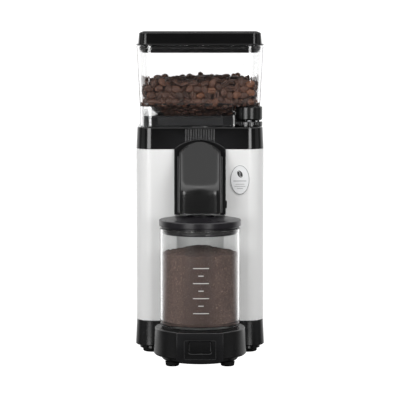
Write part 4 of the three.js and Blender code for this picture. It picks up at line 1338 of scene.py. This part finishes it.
def ground_coffee_fill():
    """The grounds in the jar, level at the glass and heaped in the middle."""
    floor = GLASS_LOW.z + JAR_FLOOR + 0.05
    inner = JAR_RADIUS - JAR_WALL - 0.08
    level, heap = 115, 7.5
    segments, rings = 128, 36
    bottom = [(0, floor), (inner - 3.2, floor), (inner - 1, floor + 1.2), (inner, floor + 3.6)]
    profile = list(bottom)
    for i in range(12):
        profile.append((inner, floor + 3.6 + (level - floor - 4) * (i + 1) / 12))
    for i in range(1, rings):
        profile.append((inner * (1 - i / rings), level))
    profile.append((0, level))
    fill = turned(profile, y=JAR_Y, segments=segments)
    for vertex in fill.data.vertices:
        x, y, z = vertex.co.x / MM, vertex.co.y / MM - JAR_Y, vertex.co.z / MM
        radius = math.hypot(x, y)
        if z > level - 6:
            mound = heap * math.exp(-((radius / 24) ** 2))
            lumps = noise.fractal(Vector((x, y, 7)) * 0.16, 0.6, 2.0, 4) * 1.1
            vertex.co.z = (z + mound + lumps) * MM
    finish(fill, "ground_coffee", BODY_OF["jar_glass"], GROUNDS)


# ---- Coffee beans ----

BEAN = (4.9, 3.5, 2.7)
BEAN_RADIUS = 3.75
BEAN_COUNT = 1830
FILL_LEVEL = 290.5
BEAN_SEED = 7
SETTLING_ROUNDS = 160
GRID_HALF_WIDTH = 70
CELL = 2


def bin_inner(z):
    """How far the bin's inner face lies inside the body's outline at a height."""
    rise = np.clip((z - LEDGE) / (HOPPER_HIGH.z - LEDGE), 0, 1)
    return LEDGE_INSET + (RIM_INSET - LEDGE_INSET) * rise + HOPPER_WALL


def floor_grid():
    """The height of the bin's floor on a grid: a ledge round the edge, and the funnel in the middle."""
    across = np.arange(-GRID_HALF_WIDTH, GRID_HALF_WIDTH + 1, CELL)
    x, y = np.meshgrid(across, np.arange(BODY_FRONT, BODY_REAR + 1, CELL), indexing="ij")
    low, high = np.zeros(x.shape), np.ones(x.shape)
    for _ in range(18):
        share = (low + high) / 2
        power = 2 / (1 - 0.5 * share)
        half_width, half_depth, centre = funnel_section(share, -HOPPER_WALL)
        outside = np.abs(x / half_width) ** power + np.abs((y - centre) / half_depth) ** power > 1
        low, high = np.where(outside, share, low), np.where(outside, high, share)
    height = FUNNEL_BOTTOM + 2 + (LEDGE - FUNNEL_BOTTOM) * low**2.5
    beside_knob = np.hypot(np.maximum(KNOB_X - x, 0), np.maximum(y - KNOB_Y, 0)) < POCKET_RADIUS + HOPPER_WALL
    return np.where(beside_knob | (low > 0.99), LEDGE + BIN_FLOOR, height)


def close_pairs(points, reach):
    squares = (points**2).sum(axis=1)
    apart = squares[:, None] + squares[None, :] - 2 * points @ points.T
    return np.nonzero(np.triu(apart < reach**2, 1))


def settle(points, rounds):
    """Pushes round stand-ins for the beans apart inside the bin until they lie against one another."""
    diameter = 2 * BEAN_RADIUS
    floor = floor_grid()
    for turn in range(rounds):
        if turn % 5 == 0:
            first, second = close_pairs(points, diameter + 2.5)
        offsets = points[first] - points[second]
        distance = np.sqrt((offsets**2).sum(axis=1))
        push = 0.28 * offsets * (np.clip(diameter - distance, 0, None) / np.maximum(distance, 1e-6))[:, None]
        for axis in range(3):
            points[:, axis] += np.bincount(first, push[:, axis], len(points))
            points[:, axis] -= np.bincount(second, push[:, axis], len(points))
        points[:, 2] -= 0.05
        keep_inside(points, floor)


def keep_inside(points, floor):
    """Moves points back inside the bin's walls, above its floor and below the heap's surface."""
    inset = bin_inner(points[:, 2]) + BEAN_RADIUS * 0.8
    half_x = BODY_HALF_WIDTH - inset
    front = BODY_FRONT + inset
    rear = BODY_REAR - inset
    points[:, 0] = np.clip(points[:, 0], -half_x, half_x)
    points[:, 1] = np.clip(points[:, 1], front, rear)
    corner = BODY_CORNER - inset
    for side_x in (-1, 1):
        for edge, side_y in ((front, -1), (rear, 1)):
            centre_x = side_x * (half_x - corner)
            centre_y = edge - side_y * corner
            dx = points[:, 0] - centre_x
            dy = points[:, 1] - centre_y
            reach = np.hypot(dx, dy)
            outside = (dx * side_x > 0) & (dy * side_y > 0) & (reach > corner)
            scale = np.where(outside, corner / np.maximum(reach, 1e-6), 1)
            points[:, 0] = centre_x + dx * scale
            points[:, 1] = centre_y + dy * scale
    column = np.round((points[:, 0] + GRID_HALF_WIDTH) / CELL).astype(int)
    row = np.round((points[:, 1] - BODY_FRONT) / CELL).astype(int)
    points[:, 2] = np.maximum(points[:, 2], floor[column, row] + BEAN_RADIUS * 0.8)
    points[:, 2] = np.minimum(points[:, 2], fill_height(points[:, 0], points[:, 1]) - BEAN_RADIUS * 0.6)


def fill_height(x, y):
    """The heap's surface, a little uneven."""
    waves = 1.6 * np.sin(x / 17 + 0.8) + 1.1 * np.sin(x / 9.1 + y / 23) + 1.2 * np.cos(y / 19 + x / 41)
    mound = 4.0 * np.exp(-(((x + 34) / 15) ** 2) - ((y + 28) / 20) ** 2)
    return FILL_LEVEL + waves + mound


def bean_form():
    """One bean's points and faces: domed on one side, flat with a curved crease on the other."""
    section = [(math.cos(math.radians(a)), math.sin(math.radians(a))) for a in range(0, 181, 30)]
    section += [(-0.62, -0.44), (-0.15, -0.42), (0.0, -0.06), (0.15, -0.42), (0.62, -0.44)]
    stations = [-0.9, -0.58, -0.2, 0.2, 0.58, 0.9]
    points = [(-1.0, 0, 0.1)]
    for t in stations:
        size = math.sqrt(1 - abs(t) ** 2.4)
        for y, z in section:
            crease = 0.16 * math.sin(2.6 * t) if z < 0 and abs(y) < 0.3 else 0
            points.append((t, y * size + crease * size, z * size))
    points.append((1.0, 0, 0.1))
    count = len(section)
    last = len(points) - 1
    faces = []
    for i in range(count):
        j = (i + 1) % count
        faces.append([0, 1 + j, 1 + i])
        for station in range(len(stations) - 1):
            a = 1 + station * count
            faces.append([a + i, a + j, a + count + j, a + count + i])
        faces.append([last - count + i, last - count + j, last])
    return np.array(points), faces


def lie_of(point, chance):
    """A bean's turn: flat against the wall or floor or on the heap if it is near one, or any way up."""
    inset = bin_inner(point[2]) + BEAN_RADIUS * 1.6
    normal = None
    loose = 0.3
    if abs(point[0]) > BODY_HALF_WIDTH - inset:
        normal = Vector((math.copysign(1, point[0]), 0, 0))
    elif point[1] < BODY_FRONT + inset:
        normal = Vector((0, -1, 0))
    elif point[1] > BODY_REAR - inset:
        normal = Vector((0, 1, 0))
    elif point[2] < LEDGE + 2 * BEAN_RADIUS:
        normal = Vector((0, 0, 1))
        loose = 0.15
    elif point[2] > FILL_LEVEL - 6 and chance.random() < 0.8:
        normal = Vector((0, 0, 1))
    if normal is None:
        normal = Vector([chance.gauss(0, 1) for _ in range(3)]).normalized()
    if abs(normal.z) < 0.5:
        loose = 0.12
    tilt = Vector([chance.gauss(0, loose) for _ in range(3)])
    up = (normal + tilt).normalized()
    if chance.random() < 0.35:
        up = -up
    along = Vector([chance.gauss(0, 1) for _ in range(3)])
    if abs(normal.z) < 0.5:
        along.z *= 0.6
    along = (along - up * along.dot(up)).normalized()
    aside = up.cross(along)
    return np.array([along, aside, up]).T


def beans():
    chance = random.Random(BEAN_SEED)
    rng = np.random.default_rng(BEAN_SEED)
    points = np.empty((BEAN_COUNT, 3))
    points[:, 0] = rng.uniform(-60, 60, BEAN_COUNT)
    points[:, 1] = rng.uniform(BODY_FRONT + 6, BODY_REAR - 6, BEAN_COUNT)
    points[:, 2] = rng.uniform(FUNNEL_BOTTOM + 6, FILL_LEVEL, BEAN_COUNT)
    settle(points, SETTLING_ROUNDS)
    form, form_faces = bean_form()
    vertices, faces, tones = [], [], []
    for point in points:
        wall = bin_inner(point[2]) + 3.1 * BEAN_RADIUS
        near_wall = abs(point[0]) > BODY_HALF_WIDTH - wall
        near_wall = near_wall or point[1] < BODY_FRONT + wall or point[1] > BODY_REAR - wall
        near_top = point[2] > fill_height(point[0], point[1]) - 3.2 * BEAN_RADIUS
        near_floor = point[2] < LEDGE + BEAN_RADIUS
        if not (near_wall or near_top or near_floor):
            continue
        size = np.array(BEAN) * [chance.uniform(least, 1.1) for least in (0.88, 0.9, 0.85)]
        placed = (form * size) @ lie_of(point, chance).T + point
        faces += [[len(vertices) + i for i in face] for face in form_faces]
        vertices += placed.tolist()
        tones += [min(max(chance.gauss(0.5, 0.24), 0), 1)] * len(placed)
    heap = shape(vertices, faces)
    tone = heap.data.attributes.new("tone", "FLOAT", "POINT")
    tone.data.foreach_set("value", tones)
    finish(heap, "coffee_beans", "hopper", BEAN_SKIN)


# ---- Studio ----


def studio_floor():
    floor = shape([(-9e4, -9e4, 0), (9e4, -9e4, 0), (9e4, 9e4, 0), (-9e4, 9e4, 0)], [[0, 1, 2, 3]])
    floor.name = "studio_floor"
    floor.data.materials.append(pale_floor("studio_floor"))


def softbox(name, place, target, width, height, power):
    light = bpy.data.lights.new(name, "AREA")
    light.shape = "RECTANGLE"
    light.size = width
    light.size_y = height
    light.energy = power
    obj = bpy.data.objects.new(name, light)
    bpy.context.scene.collection.objects.link(obj)
    obj.location = place
    obj.rotation_euler = (Vector(target) - Vector(place)).to_track_quat("-Z", "Y").to_euler()


def studio_world():
    world = bpy.data.worlds.new("studio")
    bpy.context.scene.world = world
    world.use_nodes = True
    tree = world.node_tree
    tree.nodes.clear()
    sweep = Backdrop(tree)
    background = sweep.add("Background")
    output = sweep.add("OutputWorld")
    direction = sweep.add("TexCoord").outputs["Generated"]
    ceiling = sweep.upwards(direction, 0.4, 0.85, CEILING_GLOW / BACKDROP_GLOW)
    light = sweep.combine("MAXIMUM", sweep.towards_rear(direction, 0.1, 0.75, 0.04), ceiling)
    sweep.link(sweep.or_camera(light), background.inputs["Color"])
    background.inputs["Strength"].default_value = BACKDROP_GLOW
    sweep.link(background.outputs["Background"], output.inputs["Surface"])


CAMERA_LENS = 186.7
CAMERA_PLACE = (0, -2.195, 0.3622)
CAMERA_LOOKS_DOWN = 5.223


def photographers_camera():
    camera = bpy.data.cameras.new("camera")
    camera.lens = CAMERA_LENS
    camera.sensor_width = 36
    camera.clip_end = 100
    obj = bpy.data.objects.new("camera", camera)
    bpy.context.scene.collection.objects.link(obj)
    obj.location = CAMERA_PLACE
    obj.rotation_euler = (math.radians(90 - CAMERA_LOOKS_DOWN), 0, 0)
    bpy.context.scene.camera = obj


def round_the_front(angle, height, distance=1.9):
    """A place at an angle to the right of the camera's side, in metres."""
    turn = math.radians(angle)
    return (distance * math.sin(turn), -distance * math.cos(turn), height)


def studio():
    studio_floor()
    studio_world()
    softbox("softbox_left", round_the_front(-29, 0.33), (0, 0, 0.33), 0.76, 0.58, 9.7)
    softbox("softbox_right", round_the_front(23, 0.33), (0, 0, 0.33), 0.56, 0.58, 7)
    for side, name in ((-1, "left"), (1, "right")):
        softbox("side_" + name, round_the_front(side * 75, 0.75), (0, 0, 0.75), 1.0, 1.5, 1.6)
        softbox("high_" + name, round_the_front(side * 46, 1.4, 1.5), (0, 0, 0.2), 2.6, 1.6, 25)
    photographers_camera()
    bpy.context.scene.view_settings.view_transform = "Standard"


# ---- Assembly ----

base_housing()
bottom_cover()
for row in ("front", "middle", "rear"):
    for side in ("left", "right"):
        foot(f"{row}_foot_{side}")
switch_panel()
power_button()
cable_gland()
jar_mat()
body_shell()
top_collar()
badge()
hopper_base()
scale_ring()
adjust_knob()
hopper()
hopper_lid()
chute_frame()
chute_cover()
release_tab()
jar_glass()
jar_lid()
jar_marks()
ground_coffee_fill()
beans()

for node, obj in frame["nodes"].items():
    obj.data.materials.clear()
    obj.data.materials.append(MATERIALS[SLOT_OF[node]])

studio()
